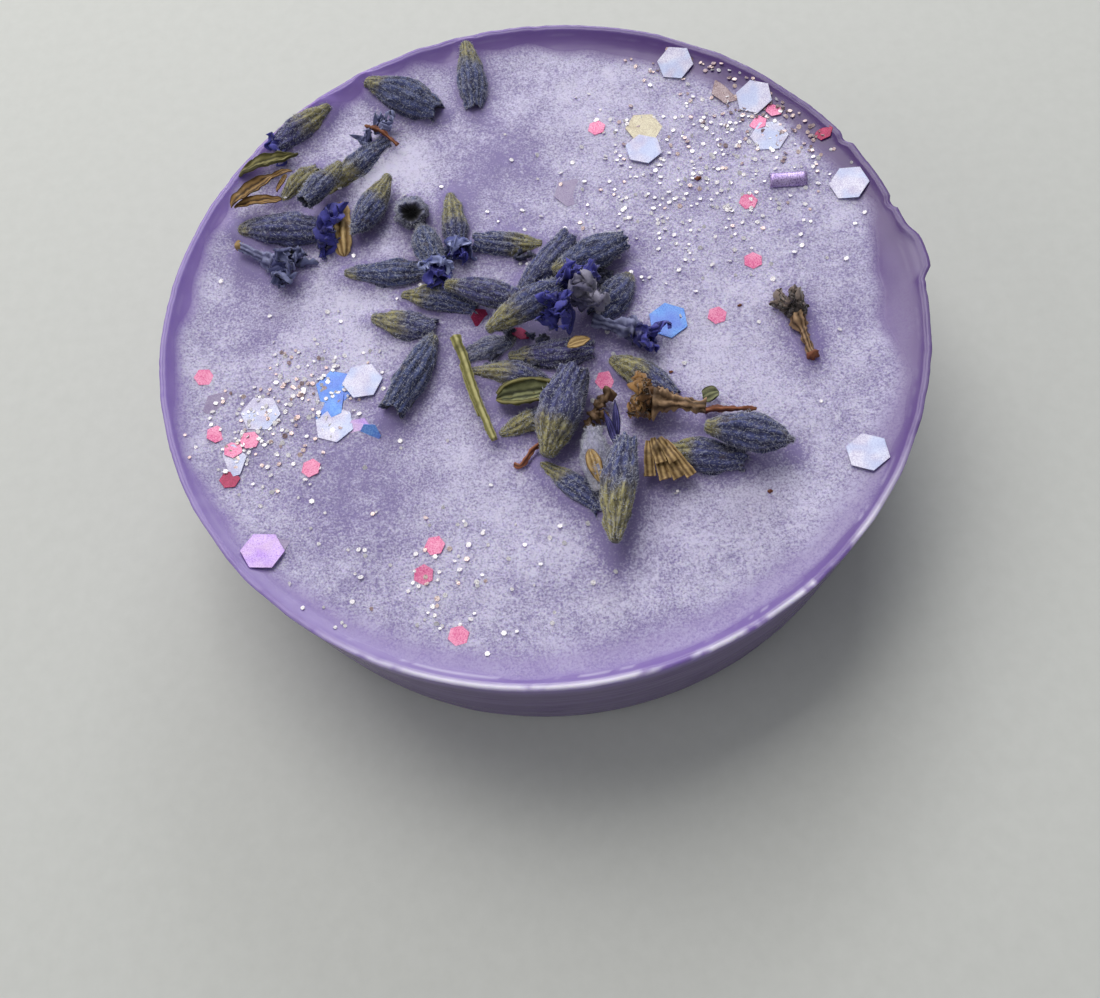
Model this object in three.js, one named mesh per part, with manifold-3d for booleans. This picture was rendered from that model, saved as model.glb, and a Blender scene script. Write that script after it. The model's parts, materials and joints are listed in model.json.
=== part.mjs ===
// Botanical wax melt: a cast wax disc with hexagonal flakes and dried lavender set in its top.
// Millimetres, +Z up. The origin is the centre of the flat underside.
import * as THREE from "three";
import { mergeVertices } from "three/addons/utils/BufferGeometryUtils.js";
import Module from "manifold-3d";

const wasm = await Module();
wasm.setup();

// ---- Driving dimensions ----
const RIM_RADIUS = 30; // to the outside of the rim
const BASE_RADIUS = 28.9; // the side tapers so that the cast slips out of its cup
const HEIGHT = 15; // underside to the rim's crest
const BASE_ROUNDING = 0.8;
const CREST_WIDTH = 0.35;
const CREEP_HEIGHT = 1.2; // how far the wax climbed the cup's wall as it set
const CREEP_LENGTH = 1.5; // distance over which that climb dies away
const POUR_TAB_REACH = 0.9; // the bulge on the rim where wax ran over as it was poured
const POUR_TAB_RISE = 0.15;
const POUR_TAB_AZIMUTH = 1;
const POUR_TAB_SPREAD = 6; // degrees
const RIM_NOTCH_DEPTH = 0.2;
const RIM_NOTCH_AZIMUTHS = [-7, 10, 24];
const RIM_NOTCH_SPREAD = 2; // degrees
const RIM_WAVE = 0.03; // unevenness of the crest all round

const FLAKE_RADIUS = 1.6; // centre to corner
const FLAKE_THICKNESS = 0.15;
const SUNK_SHARE = 0.36; // of a bud's width, below the wax that it was dropped on

const POCKET_GAP = 0.3; // between a piece and the wax round it
const CLEARANCE = 0.12; // between one laid piece and the next
const LIFT_STEP = 0.1;
const VIEWPOINT = new THREE.Vector3(0, -46.1, 84.5); // where the photo was taken from
const FLAKE_CLEARANCE = 0.04;
const FLAKE_LIFT_STEP = 0.04;

const WAX_SEGMENTS = 108;
const BUD_SIDES = 8;
const MERGE_TOLERANCE = 1e-3;

// ---- Materials ----
const finish = (color, roughness, metalness = 0) =>
  new THREE.MeshStandardMaterial({ color, roughness, metalness, flatShading: true });

const FINISHES = {
  lilac_wax: finish("#a48fc4", 0.45),
  calyx: finish("#5c5f80", 0.9),
  corolla: finish("#3b3a8c", 0.8),
  green_stem: finish("#8e9150", 0.85),
  brown_husk: finish("#7a5a38", 0.85),
  white_foil: finish("#d9d3ea", 0.25, 0.6),
  blue_foil: finish("#6f9be0", 0.2, 0.7),
  gold_foil: finish("#d8bf8e", 0.25, 0.7),
  violet_foil: finish("#a66bd8", 0.2, 0.7),
};

// ---- Solids ----
function solidOf(geometry) {
  const bare = geometry.clone();
  bare.deleteAttribute("normal");
  bare.deleteAttribute("uv");
  const merged = mergeVertices(bare, MERGE_TOLERANCE);
  return new wasm.Manifold(
    new wasm.Mesh({
      numProp: 3,
      vertProperties: merged.attributes.position.array,
      triVerts: new Uint32Array(merged.index.array),
    }),
  );
}

function geometryOf(solid) {
  const { vertProperties, triVerts } = solid.getMesh();
  const geometry = new THREE.BufferGeometry();
  geometry.setAttribute("position", new THREE.BufferAttribute(vertProperties, 3));
  geometry.setIndex(new THREE.BufferAttribute(triVerts, 1));
  geometry.computeVertexNormals();
  return geometry;
}

// The solid of a shape where its mesh stands.
function solidAt(geometry, mesh) {
  mesh.updateMatrix();
  return solidOf(geometry.clone().applyMatrix4(mesh.matrix));
}

// ---- Wax ----
const degrees = THREE.MathUtils.degToRad;

// A smooth flat-topped bump of height 1 round one azimuth; angles are in degrees.
function bumpAt(azimuth, centre, spread) {
  const away = THREE.MathUtils.euclideanModulo(azimuth - centre + 180, 360) - 180;
  return Math.exp(-((away / spread) ** 4));
}

// Height of the undisturbed wax surface at a distance from the axis.
function surfaceHeight(radius) {
  const inward = Math.max(0, RIM_RADIUS - CREST_WIDTH - radius);
  return HEIGHT - CREEP_HEIGHT * (1 - Math.exp(-inward / CREEP_LENGTH));
}

function surfaceNormal(x, y) {
  const radius = Math.hypot(x, y);
  const step = 0.4;
  const slope = (surfaceHeight(radius + step) - surfaceHeight(radius - step)) / (2 * step);
  return new THREE.Vector3((-slope * x) / radius, (-slope * y) / radius, 1).normalize();
}

// Outline from the middle of the underside, up the side, over the crest and in to the middle.
function waxProfile() {
  const wall = new THREE.Vector2(RIM_RADIUS - BASE_RADIUS, HEIGHT).normalize();
  const points = [
    new THREE.Vector2(0, 0),
    new THREE.Vector2(BASE_RADIUS - BASE_ROUNDING, 0),
    new THREE.Vector2(BASE_RADIUS - BASE_ROUNDING * 0.3, BASE_ROUNDING * 0.25),
    new THREE.Vector2(BASE_RADIUS, 0).addScaledVector(wall, BASE_ROUNDING),
    new THREE.Vector2(BASE_RADIUS, 0).addScaledVector(wall, HEIGHT * 0.5),
    new THREE.Vector2(BASE_RADIUS, 0).addScaledVector(wall, HEIGHT * 0.9),
    new THREE.Vector2(RIM_RADIUS, HEIGHT - 0.1),
    new THREE.Vector2(RIM_RADIUS - CREST_WIDTH / 2, HEIGHT),
  ];
  for (const inward of [0.4, 1, 1.8, 3, 5, 9, 18]) {
    const radius = RIM_RADIUS - CREST_WIDTH - inward;
    points.push(new THREE.Vector2(radius, surfaceHeight(radius)));
  }
  points.push(new THREE.Vector2(0, surfaceHeight(0)));
  return points;
}

// Gives the top edge its pour tab, its notches and its slight waviness.
function makeRimUneven(geometry) {
  const position = geometry.attributes.position;
  const point = new THREE.Vector3();
  for (let i = 0; i < position.count; i += 1) {
    point.fromBufferAttribute(position, i);
    const radius = Math.hypot(point.x, point.y);
    const azimuth = THREE.MathUtils.radToDeg(Math.atan2(point.y, point.x));
    const nearCrest = Math.exp(-Math.max(0, RIM_RADIUS - radius) / 0.8);
    const highUp = THREE.MathUtils.smoothstep(point.z, HEIGHT * 0.7, HEIGHT);
    const share = nearCrest * highUp;
    const tab = bumpAt(azimuth, POUR_TAB_AZIMUTH, POUR_TAB_SPREAD);
    const notches = RIM_NOTCH_AZIMUTHS.map((centre) => bumpAt(azimuth, centre, RIM_NOTCH_SPREAD));
    const notch = Math.max(...notches);
    const wave = Math.sin(degrees(azimuth) * 7) + 0.6 * Math.sin(degrees(azimuth) * 17 + 1);
    const outward = share * (POUR_TAB_REACH * tab - 0.5 * RIM_NOTCH_DEPTH * notch);
    const upward = share * (POUR_TAB_RISE * tab - RIM_NOTCH_DEPTH * notch + RIM_WAVE * wave);
    const stretch = radius > 0 ? (radius + outward) / radius : 1;
    position.setXYZ(i, point.x * stretch, point.y * stretch, point.z + upward);
  }
}

function waxSolid(pockets) {
  const geometry = new THREE.LatheGeometry(waxProfile(), WAX_SEGMENTS);
  geometry.rotateX(Math.PI / 2);
  makeRimUneven(geometry);
  return pockets.reduce((wax, pocket) => wax.subtract(pocket), solidOf(geometry));
}

// ---- Shapes, each along +X about its own middle; `grow` makes it fatter all round ----

// Turned shape from an outline of [share of the length, share of the half width].
function turned(outline, length, width, grow, sides = BUD_SIDES) {
  const reach = length + 2 * grow;
  const points = outline.map(
    ([along, out]) =>
      new THREE.Vector2(out * (width / 2) + (out > 0 ? grow : 0), (along - 0.5) * reach),
  );
  return new THREE.LatheGeometry(points, sides).rotateZ(-Math.PI / 2);
}

// Dried calyx: a narrow stalk end, a swollen ribbed tube and a puckered, hollowed mouth.
const CALYX_OUTLINE = [
  [0, 0],
  [0.01, 0.26],
  [0.14, 0.62],
  [0.36, 0.94],
  [0.62, 1],
  [0.86, 0.82],
  [1, 0.56],
  [0.92, 0],
];
const bud = (length, width) => (grow) => turned(CALYX_OUTLINE, length, width, grow);

// Dried flower that opens from a thin tube into a wide crumpled mouth.
const TRUMPET_OUTLINE = [
  [0, 0],
  [0.02, 0.22],
  [0.4, 0.26],
  [0.62, 0.5],
  [0.84, 1],
  [1, 0.86],
  [0.86, 0],
];
const trumpet = (length, width) => (grow) => turned(TRUMPET_OUTLINE, length, width, grow);

// Flat pointed blade, such as a leaf or a bract.
const BLADE_OUTLINE = [
  [0, 0],
  [0.12, 0.45],
  [0.38, 1],
  [0.66, 0.86],
  [0.9, 0.34],
  [1, 0],
];
const blade = (length, width, thickness) => (grow) =>
  turned(BLADE_OUTLINE, length, width, grow).scale(1, 1, (thickness + grow) / (width + grow));

// Thin stalk along a hand-set route of [x, y, z] points.
const stalk = (route, diameter) => (grow) => {
  const section = new THREE.Shape().absarc(0, 0, diameter / 2 + grow, 0, 2 * Math.PI);
  const path = new THREE.CatmullRomCurve3(route.map((point) => new THREE.Vector3(...point)));
  return new THREE.ExtrudeGeometry(section, {
    extrudePath: path,
    steps: 4 * (route.length - 1),
    curveSegments: 6,
    bevelEnabled: false,
  });
};

// Hexagonal flake lying flat.
const flatFlake = (radius) => (grow) =>
  new THREE.CylinderGeometry(radius + grow, radius + grow, FLAKE_THICKNESS + 2 * grow, 6).rotateX(
    Math.PI / 2,
  );

// Flake curled into part of a tube that lies along +X.
const curledFlake = (length, curlRadius, spread) => (grow) => {
  const half = degrees(spread / 2);
  const up = Math.PI / 2;
  const section = new THREE.Shape();
  section.absarc(0, 0, curlRadius + FLAKE_THICKNESS + grow, up - half, up + half, false);
  section.absarc(0, 0, curlRadius - grow, up + half, up - half, true);
  const geometry = new THREE.ExtrudeGeometry(section, {
    depth: length + 2 * grow,
    steps: 1,
    curveSegments: 8,
    bevelEnabled: false,
  });
  geometry.translate(0, -curlRadius * Math.cos(half), -length / 2 - grow);
  return geometry.rotateX(Math.PI / 2).rotateZ(Math.PI / 2);
};

// ---- Placing ----
const melt = new THREE.Group();
const pockets = [];
let laid = null;

function addMesh(name, geometry, slot) {
  const mesh = new THREE.Mesh(geometry, FINISHES[slot].clone());
  mesh.name = name;
  melt.add(mesh);
  return mesh;
}

// Lifts a mesh clear of what lies under it, along the line of sight, so that it stays where
// the photo shows it.
function raiseUntilClear(mesh, grown, obstacle, step) {
  const sight = VIEWPOINT.clone().sub(mesh.position).normalize();
  while (!solidAt(grown, mesh).intersect(obstacle).isEmpty()) {
    mesh.position.addScaledVector(sight, step);
  }
}

// Drops a piece on the wax, raises it clear of the pieces below it and notes its pocket.
// heading turns +X about the vertical, tilt lifts the +X end, and rise is the height of
// the piece's middle over the wax.
function lay(name, slot, shape, { x, y, heading = 0, tilt = 0, rise = 0 }) {
  const mesh = addMesh(name, shape(0), slot);
  mesh.position.set(x, y, surfaceHeight(Math.hypot(x, y)) + rise);
  mesh.rotation.set(0, -degrees(tilt), degrees(heading), "ZYX");
  if (laid) raiseUntilClear(mesh, shape(CLEARANCE), laid, LIFT_STEP);
  const solid = solidAt(mesh.geometry, mesh);
  laid = laid ? laid.add(solid) : solid;
  pockets.push(solidAt(shape(POCKET_GAP), mesh));
}

let budCount = 0;

// Lays buds given as [x, y, heading, length, width, tilt, sinking]; the heading runs from stalk
// to mouth, and sinking is how far a bud went into the wax beyond the usual.
function layBuds(places) {
  for (const [x, y, heading, length, width, tilt = 0, sinking = 0] of places) {
    budCount += 1;
    const name = `lavender_bud_${String(budCount).padStart(2, "0")}`;
    const rise = width * (0.5 - SUNK_SHARE) + 0.5 * length * Math.sin(degrees(Math.abs(tilt)));
    lay(name, "calyx", bud(length, width), { x, y, heading, tilt, rise: rise - sinking });
  }
}

// Lays a flake along the wax surface, above everything that is already there.
function layFlake(name, slot, shape, x, y, spin, obstacle) {
  const mesh = addMesh(name, shape(0), slot);
  const lean = new THREE.Quaternion().setFromUnitVectors(
    new THREE.Vector3(0, 0, 1),
    surfaceNormal(x, y),
  );
  const turn = new THREE.Quaternion().setFromAxisAngle(new THREE.Vector3(0, 0, 1), degrees(spin));
  mesh.quaternion.copy(lean).multiply(turn);
  mesh.position.set(x, y, surfaceHeight(Math.hypot(x, y)));
  raiseUntilClear(mesh, shape(FLAKE_CLEARANCE), obstacle, FLAKE_LIFT_STEP);
  return obstacle.add(solidAt(mesh.geometry, mesh));
}

// ---- Lavender by the rim ----
layBuds([
  [-13.5, 17.5, 40, 7.4, 2.3],
  [-17.8, 22.4, -142, 6.2, 2.4],
  [-18.5, 16.6, 42, 4.4, 2],
]);
lay("papery_bract_01", "brown_husk", blade(5.2, 1.5, 0.7), {
  x: -21.6,
  y: 16,
  heading: 20,
  tilt: -4,
  rise: 0.5,
});
lay("papery_bract_02", "green_stem", blade(5.4, 1, 0.6), {
  x: -20.9,
  y: 18.7,
  heading: 18,
  tilt: -4,
  rise: 0.5,
});
lay("seed_husk", "brown_husk", bud(5.6, 1.5), { x: -15, y: 11.3, heading: 90, rise: 0.3 });
layBuds([
  [-16.5, 16.5, -130, 5, 1.9, 4],
  [-12.5, 13.5, -122, 6.4, 2.3],
  [-20, 12, -12, 7.6, 3],
  [-9, 24.2, -36, 7.4, 3, -4],
  [-2.8, 25.6, -90, 7, 2.5, -9],
]);
lay("trumpet_floret", "calyx", trumpet(5.2, 2.8), {
  x: -21.4,
  y: 9,
  heading: -36,
  tilt: -5,
  rise: 0.9,
});
lay(
  "stalk_01",
  "brown_husk",
  stalk(
    [
      [-1.3, 1, 0.3],
      [0, 0, 0.5],
      [1.2, -1.3, 0],
    ],
    0.45,
  ),
  { x: -11, y: 20.6, rise: 0.4 },
);

// ---- Lavender in the middle ----
layBuds([
  [-9.1, 11.8, -84, 4.4, 2.5, 50, 1.5],
  [-1.5, 7.4, 168, 5.6, 2],
  [-11.7, 6.3, -9, 6.8, 2.3],
  [-7.6, 2.7, -22, 6.4, 2.1],
  [-10.6, 1.2, -22, 5.4, 2.2],
  [-4.2, 3.1, -24, 6, 2.1],
  [-3.8, -2.2, -168, 4.2, 2],
  [6.2, 0.8, -132, 4.8, 2.6],
  [0.6, -3.4, -5, 6.6, 2.2],
  [-2.9, -4.9, -16, 6.2, 2.1],
  [-8.1, 8.4, -78, 4.2, 2.2, 6],
  [-5.7, 10.6, -88, 5.4, 1.9, 4],
  [1, 4.6, 45, 7, 2.3],
  [-10.2, -3.4, -122, 7.2, 2.6],
  [-1, 0.8, 24, 6.6, 2.4, 3],
  [4.8, 4.9, 17, 6.4, 2.5, 3],
]);
lay("crumpled_corolla", "corolla", trumpet(4.4, 3.2), {
  x: 3.2,
  y: 1.6,
  heading: 50,
  tilt: 12,
  rise: 1,
});
lay("floret_tube", "corolla", bud(4.8, 1.7), { x: 6.4, y: -2.4, heading: -27, rise: 0.6 });
lay(
  "flower_stem",
  "green_stem",
  stalk(
    [
      [-0.8, 4, 0.4],
      [-0.3, 1.9, 0.2],
      [0, 0, 0],
      [0.5, -2.3, 0],
      [1.2, -5.1, -0.1],
    ],
    0.75,
  ),
  { x: -5.8, y: -5, rise: 0.3 },
);

// ---- Lavender below the middle ----
layBuds([
  [-2.2, -9.3, 17, 4, 1.9],
  [0.5, -14.9, -48, 6, 2.1],
  [7.2, -6.9, -45, 6, 2.3],
]);
lay("folded_leaf", "green_stem", blade(5.2, 1.9, 1.1), {
  x: -1.4,
  y: -7.1,
  heading: -2,
  tilt: 3,
  rise: 0.6,
});
layBuds([
  [2.7, -13.1, 87, 5, 2],
  [0.7, -9, 65, 7.2, 3, 5],
  [10.6, -14, -18, 6, 2.5],
]);
lay("bract_sheaf", "brown_husk", blade(4.2, 2.4, 1.4), {
  x: 7.2,
  y: -14.2,
  heading: -12,
  rise: 0.6,
});
lay("brown_flower", "brown_husk", trumpet(5.4, 2.9), {
  x: 8.8,
  y: -9.6,
  heading: 160,
  tilt: -4,
  rise: 1,
});
layBuds([
  [14.2, -12.8, -20, 6.4, 2.7],
  [4.2, -15.8, 75, 8, 2.5],
]);
lay(
  "stalk_02",
  "brown_husk",
  stalk(
    [
      [-1.9, 0.3, 0],
      [0, 0, 0.25],
      [1.9, -0.3, 0],
    ],
    0.5,
  ),
  { x: 13.2, y: -10.7, rise: 0.5 },
);
lay("brown_floret", "brown_husk", trumpet(5.2, 2.2), {
  x: 19.9,
  y: -4.6,
  heading: 97,
  tilt: 3,
  rise: 0.6,
});

// ---- Wax round the lavender ----
const wax = waxSolid(pockets);
addMesh("wax_body", geometryOf(wax), "lilac_wax");

// ---- Flakes: [x, y, spin, finish], in the order that they fell ----
const FLAKES = [
  [15.2, 23.8, 10, "white_foil"],
  [21.1, 18.7, 0, "white_foil"],
  [21.6, 14.6, 20, "white_foil"],
  [11.4, 17.6, 25, "gold_foil"],
  [11, 15.3, 5, "white_foil"],
  [26.8, 8.3, 15, "white_foil"],
  [10.1, -1.9, 0, "blue_foil"],
  [-16.5, -3.4, 10, "blue_foil"],
  [-14.3, -3.2, 30, "white_foil"],
  [-22.4, -4.8, 20, "white_foil"],
  [-16.7, -6.7, 5, "white_foil"],
  [-22.4, -16.4, 25, "violet_foil"],
  [22.4, -15.6, 0, "white_foil"],
];
let obstacle = laid.add(wax);
FLAKES.forEach(([x, y, spin, slot], index) => {
  const name = `hex_flake_${String(index + 1).padStart(2, "0")}`;
  obstacle = layFlake(name, slot, flatFlake(FLAKE_RADIUS), x, y, spin, obstacle);
});
layFlake("curled_flake", "violet_foil", curledFlake(3, 0.7, 150), 22.1, 9.7, 5, obstacle);

export default melt;
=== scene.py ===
import json
import math

import bpy
import numpy as np
from mathutils import Matrix, Vector


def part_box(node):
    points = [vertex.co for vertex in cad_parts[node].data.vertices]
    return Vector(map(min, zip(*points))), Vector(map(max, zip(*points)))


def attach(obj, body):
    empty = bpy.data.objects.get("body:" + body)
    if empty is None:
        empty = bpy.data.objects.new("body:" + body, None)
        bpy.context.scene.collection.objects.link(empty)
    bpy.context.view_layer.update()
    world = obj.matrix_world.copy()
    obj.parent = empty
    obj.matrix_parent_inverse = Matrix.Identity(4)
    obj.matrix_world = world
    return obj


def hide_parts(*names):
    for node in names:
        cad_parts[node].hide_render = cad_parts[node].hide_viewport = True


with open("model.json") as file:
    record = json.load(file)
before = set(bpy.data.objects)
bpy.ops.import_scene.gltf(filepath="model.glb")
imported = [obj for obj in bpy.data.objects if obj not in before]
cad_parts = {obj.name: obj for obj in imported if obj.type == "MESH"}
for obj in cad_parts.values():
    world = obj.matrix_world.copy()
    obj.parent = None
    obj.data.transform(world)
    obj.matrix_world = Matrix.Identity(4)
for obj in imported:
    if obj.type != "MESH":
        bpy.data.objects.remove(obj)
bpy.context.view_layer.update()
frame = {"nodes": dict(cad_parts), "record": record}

MM = 0.001
RIM_RADIUS = -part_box("wax_body")[0].x
HEIGHT = RIM_RADIUS / 2  # underside to the rim's crest
BASE_RADIUS = RIM_RADIUS - 1.1 * MM
CREST_WIDTH = 0.35 * MM
CREEP_HEIGHT = 1.2 * MM  # how far the wax climbed the cup's wall as it set
CREEP_LENGTH = 1.5 * MM
WAVES = 28  # how many waves make up a random field


# ---------------------------------------------------------------- small maths
def unit(vector):
    return vector / np.linalg.norm(vector)


def smoothstep(low, high, value):
    t = np.clip((value - low) / (high - low), 0, 1)
    return t * t * (3 - 2 * t)


def rumple(points, size, seed):
    """A smooth random field of about unit strength, whose features are about `size` across."""
    random = np.random.default_rng(seed)
    directions = random.normal(size=(WAVES, 3))
    directions *= (2 * math.pi / size / np.linalg.norm(directions, axis=1))[:, None]
    directions *= random.uniform(0.5, 1.5, WAVES)[:, None]
    phases = random.uniform(0, 2 * math.pi, WAVES)
    total = np.zeros(len(points))
    for direction, phase in zip(directions, phases):
        total += np.sin(points @ direction + phase)
    return total * math.sqrt(2 / WAVES)


def across(axis):
    """Two unit vectors square to an axis: one level, one as upright as it can be."""
    level = np.cross([0.0, 0.0, 1.0], axis)
    if np.linalg.norm(level) < 1e-6:
        level = np.array([1.0, 0.0, 0.0])
    level = unit(level)
    return level, np.cross(axis, level)


def surface_height(radius):
    """Height of the undisturbed wax surface at a distance from the axis."""
    inward = np.maximum(0, RIM_RADIUS - CREST_WIDTH - radius)
    return HEIGHT - CREEP_HEIGHT * (1 - np.exp(-inward / CREEP_LENGTH))


# ---------------------------------------------------------------- mesh helpers
def make_piece(name, vertices, faces, material, attributes=None, replaces=(), smooth=True):
    """One mesh piece of the object: it rides on the root and takes the given material."""
    mesh = bpy.data.meshes.new(name)
    mesh.from_pydata([tuple(v) for v in vertices], [], [tuple(f) for f in faces])
    mesh.polygons.foreach_set("use_smooth", [smooth] * len(mesh.polygons))
    for key, values in (attributes or {}).items():
        values = np.asarray(values, np.float32)
        kind, field = ("FLOAT", "value") if values.ndim == 1 else ("FLOAT_VECTOR", "vector")
        layer = mesh.attributes.new(key, kind, "POINT")
        layer.data.foreach_set(field, values.ravel())
    mesh.materials.append(material)
    mesh.update()
    piece = bpy.data.objects.new(name, mesh)
    bpy.context.scene.collection.objects.link(piece)
    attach(piece, "root")
    if replaces:
        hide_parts(*replaces)
    return piece


class Mesh:
    """Vertices, faces and named vertex values gathered from several shapes."""

    def __init__(self, *keys):
        self.vertices = []
        self.faces = []
        self.values = {key: [] for key in keys}

    def add(self, vertices, faces, **values):
        start = len(self.vertices)
        self.vertices.extend(vertices)
        self.faces.extend([tuple(start + i for i in face) for face in faces])
        for key in self.values:
            given = np.asarray(values.get(key, 0.0), float)
            if given.ndim < 2:
                given = np.broadcast_to(given, len(vertices))
            self.values[key].extend(given)

    def piece(self, name, material, slot, replaces=(), smooth=True):
        return make_piece(
            name, self.vertices, self.faces, material, self.values, replaces, smooth
        )


def tube_faces(rings, around, start=0):
    """Quads that join rings of vertices, each ring closed on itself."""
    faces = []
    for i in range(rings - 1):
        for j in range(around):
            k = (j + 1) % around
            a = start + i * around
            b = a + around
            faces.append((a + j, a + k, b + k, b + j))
    return faces


def closed_tube(centres, sides, uprights, radii, around):
    """A tube round a line of centres, closed at both ends. radii is one row per ring."""
    angles = np.linspace(0, 2 * math.pi, around, endpoint=False)
    vertices = []
    for centre, side, upright, radius in zip(centres, sides, uprights, radii):
        ring = np.outer(np.cos(angles) * radius, side) + np.outer(np.sin(angles) * radius, upright)
        vertices.extend(ring + centre)
    rings = len(centres)
    faces = tube_faces(rings, around)
    faces.append(tuple(reversed(range(around))))
    faces.append(tuple((rings - 1) * around + j for j in range(around)))
    return vertices, faces


# ---------------------------------------------------------------- where the CAD pieces lie
def cad_points(node):
    points = np.array([vertex.co for vertex in frame["nodes"][node].data.vertices])
    return np.unique(points.round(7), axis=0)


def principal_axes(points):
    middle = points.mean(0)
    return middle, np.linalg.svd(points - middle, full_matrices=False)[2]


def ends_of(node):
    """Stalk end, mouth end and greatest radius of a turned CAD piece; its mouth's ring is the wider."""
    points = cad_points(node)
    middle, axes = principal_axes(points)
    axis = axes[0]
    along = (points - middle) @ axis
    off = np.linalg.norm(points - middle - np.outer(along, axis), axis=1)
    margin = 0.03 * np.ptp(along)
    if off[along < along.min() + margin].mean() > off[along > along.max() - margin].mean():
        axis, along = -axis, -along
    return middle + axis * along.min(), middle + axis * along.max(), off.max()


def centre_line(node, rings):
    """The middle of each ring of an extruded CAD piece, from one end to the other."""
    points = cad_points(node)
    middle, axes = principal_axes(points)
    order = np.argsort((points - middle) @ axes[0])
    return np.array([points[group].mean(0) for group in np.array_split(order, rings)])


def plate_of(node):
    """Middle, corner direction, upward normal and corner radius of a flat CAD flake."""
    points = cad_points(node)
    middle, axes = principal_axes(points)
    normal = axes[2] * np.sign(axes[2][2])
    flat = points - middle - np.outer((points - middle) @ normal, normal)
    corner = flat[np.argmax(np.linalg.norm(flat, axis=1))]
    return middle, unit(corner), normal, np.linalg.norm(corner)


# ---------------------------------------------------------------- shader helper
class Look:
    """A node material built up from its Principled shader."""

    def __init__(self, name, **constants):
        self.material = bpy.data.materials.new(name)
        self.material.use_nodes = True
        self.tree = self.material.node_tree
        self.shader = self.tree.nodes["Principled BSDF"]
        self.coordinates = self.node("ShaderNodeTexCoord").outputs["Object"]
        for socket, value in constants.items():
            self.shader.inputs[socket.replace("_", " ")].default_value = value

    def node(self, kind, **settings):
        node = self.tree.nodes.new(kind)
        for key, value in settings.items():
            setattr(node, key, value)
        return node

    def plug(self, socket, value):
        if isinstance(value, bpy.types.NodeSocket):
            self.tree.links.new(value, socket)
        elif isinstance(value, tuple) and len(value) == 3 and socket.type == "RGBA":
            socket.default_value = (*value, 1)
        else:
            socket.default_value = value

    def attribute(self, name):
        return self.node("ShaderNodeAttribute", attribute_name=name).outputs["Fac"]

    def vector(self, name):
        return self.node("ShaderNodeAttribute", attribute_name=name).outputs["Vector"]

    def noise(self, size, detail=2.0, roughness=0.5, shift=0.0, along=None, squash=(1, 1, 1)):
        """Grain of a given size in metres, from 0 to 1, drawn out where squash is under 1."""
        mapping = self.node("ShaderNodeMapping")
        self.plug(mapping.inputs["Vector"], along or self.coordinates)
        mapping.inputs["Scale"].default_value = squash
        mapping.inputs["Location"].default_value = (shift, shift, shift)
        texture = self.node("ShaderNodeTexNoise")
        self.plug(texture.inputs["Vector"], mapping.outputs["Vector"])
        texture.inputs["Scale"].default_value = 1 / size
        texture.inputs["Detail"].default_value = detail
        texture.inputs["Roughness"].default_value = roughness
        return texture.outputs["Fac"]

    def math(self, operation, a, b=0.0):
        node = self.node("ShaderNodeMath", operation=operation)
        self.plug(node.inputs[0], a)
        self.plug(node.inputs[1], b)
        return node.outputs[0]

    def blend(self, a, weight_a, b, weight_b):
        """Two values added together, each by its weight."""
        return self.math("ADD", self.math("MULTIPLY", a, weight_a), self.math("MULTIPLY", b, weight_b))

    def about_zero(self, value, weight):
        """Grain from 0 to 1 as a change to either side of nothing."""
        return self.math("MULTIPLY", self.math("SUBTRACT", value, 0.5), weight)

    def fade(self, value, low, high, out_low=0.0, out_high=1.0):
        """value taken smoothly from [low, high] to [out_low, out_high]."""
        node = self.node("ShaderNodeMapRange", interpolation_type="SMOOTHSTEP")
        for socket, given in zip(node.inputs, (value, low, high, out_low, out_high)):
            self.plug(socket, given)
        return node.outputs[0]

    def mix(self, share, a, b):
        node = self.node("ShaderNodeMix", data_type="RGBA")
        self.plug(node.inputs[0], share)
        self.plug(node.inputs[6], a)
        self.plug(node.inputs[7], b)
        return node.outputs[2]

    def color(self, value):
        self.plug(self.shader.inputs["Base Color"], value)

    def roughness(self, value):
        self.plug(self.shader.inputs["Roughness"], value)

    def bump(self, height, depth):
        node = self.node("ShaderNodeBump")
        node.inputs["Distance"].default_value = depth
        self.plug(node.inputs["Height"], height)
        self.plug(self.shader.inputs["Normal"], node.outputs["Normal"])


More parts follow.
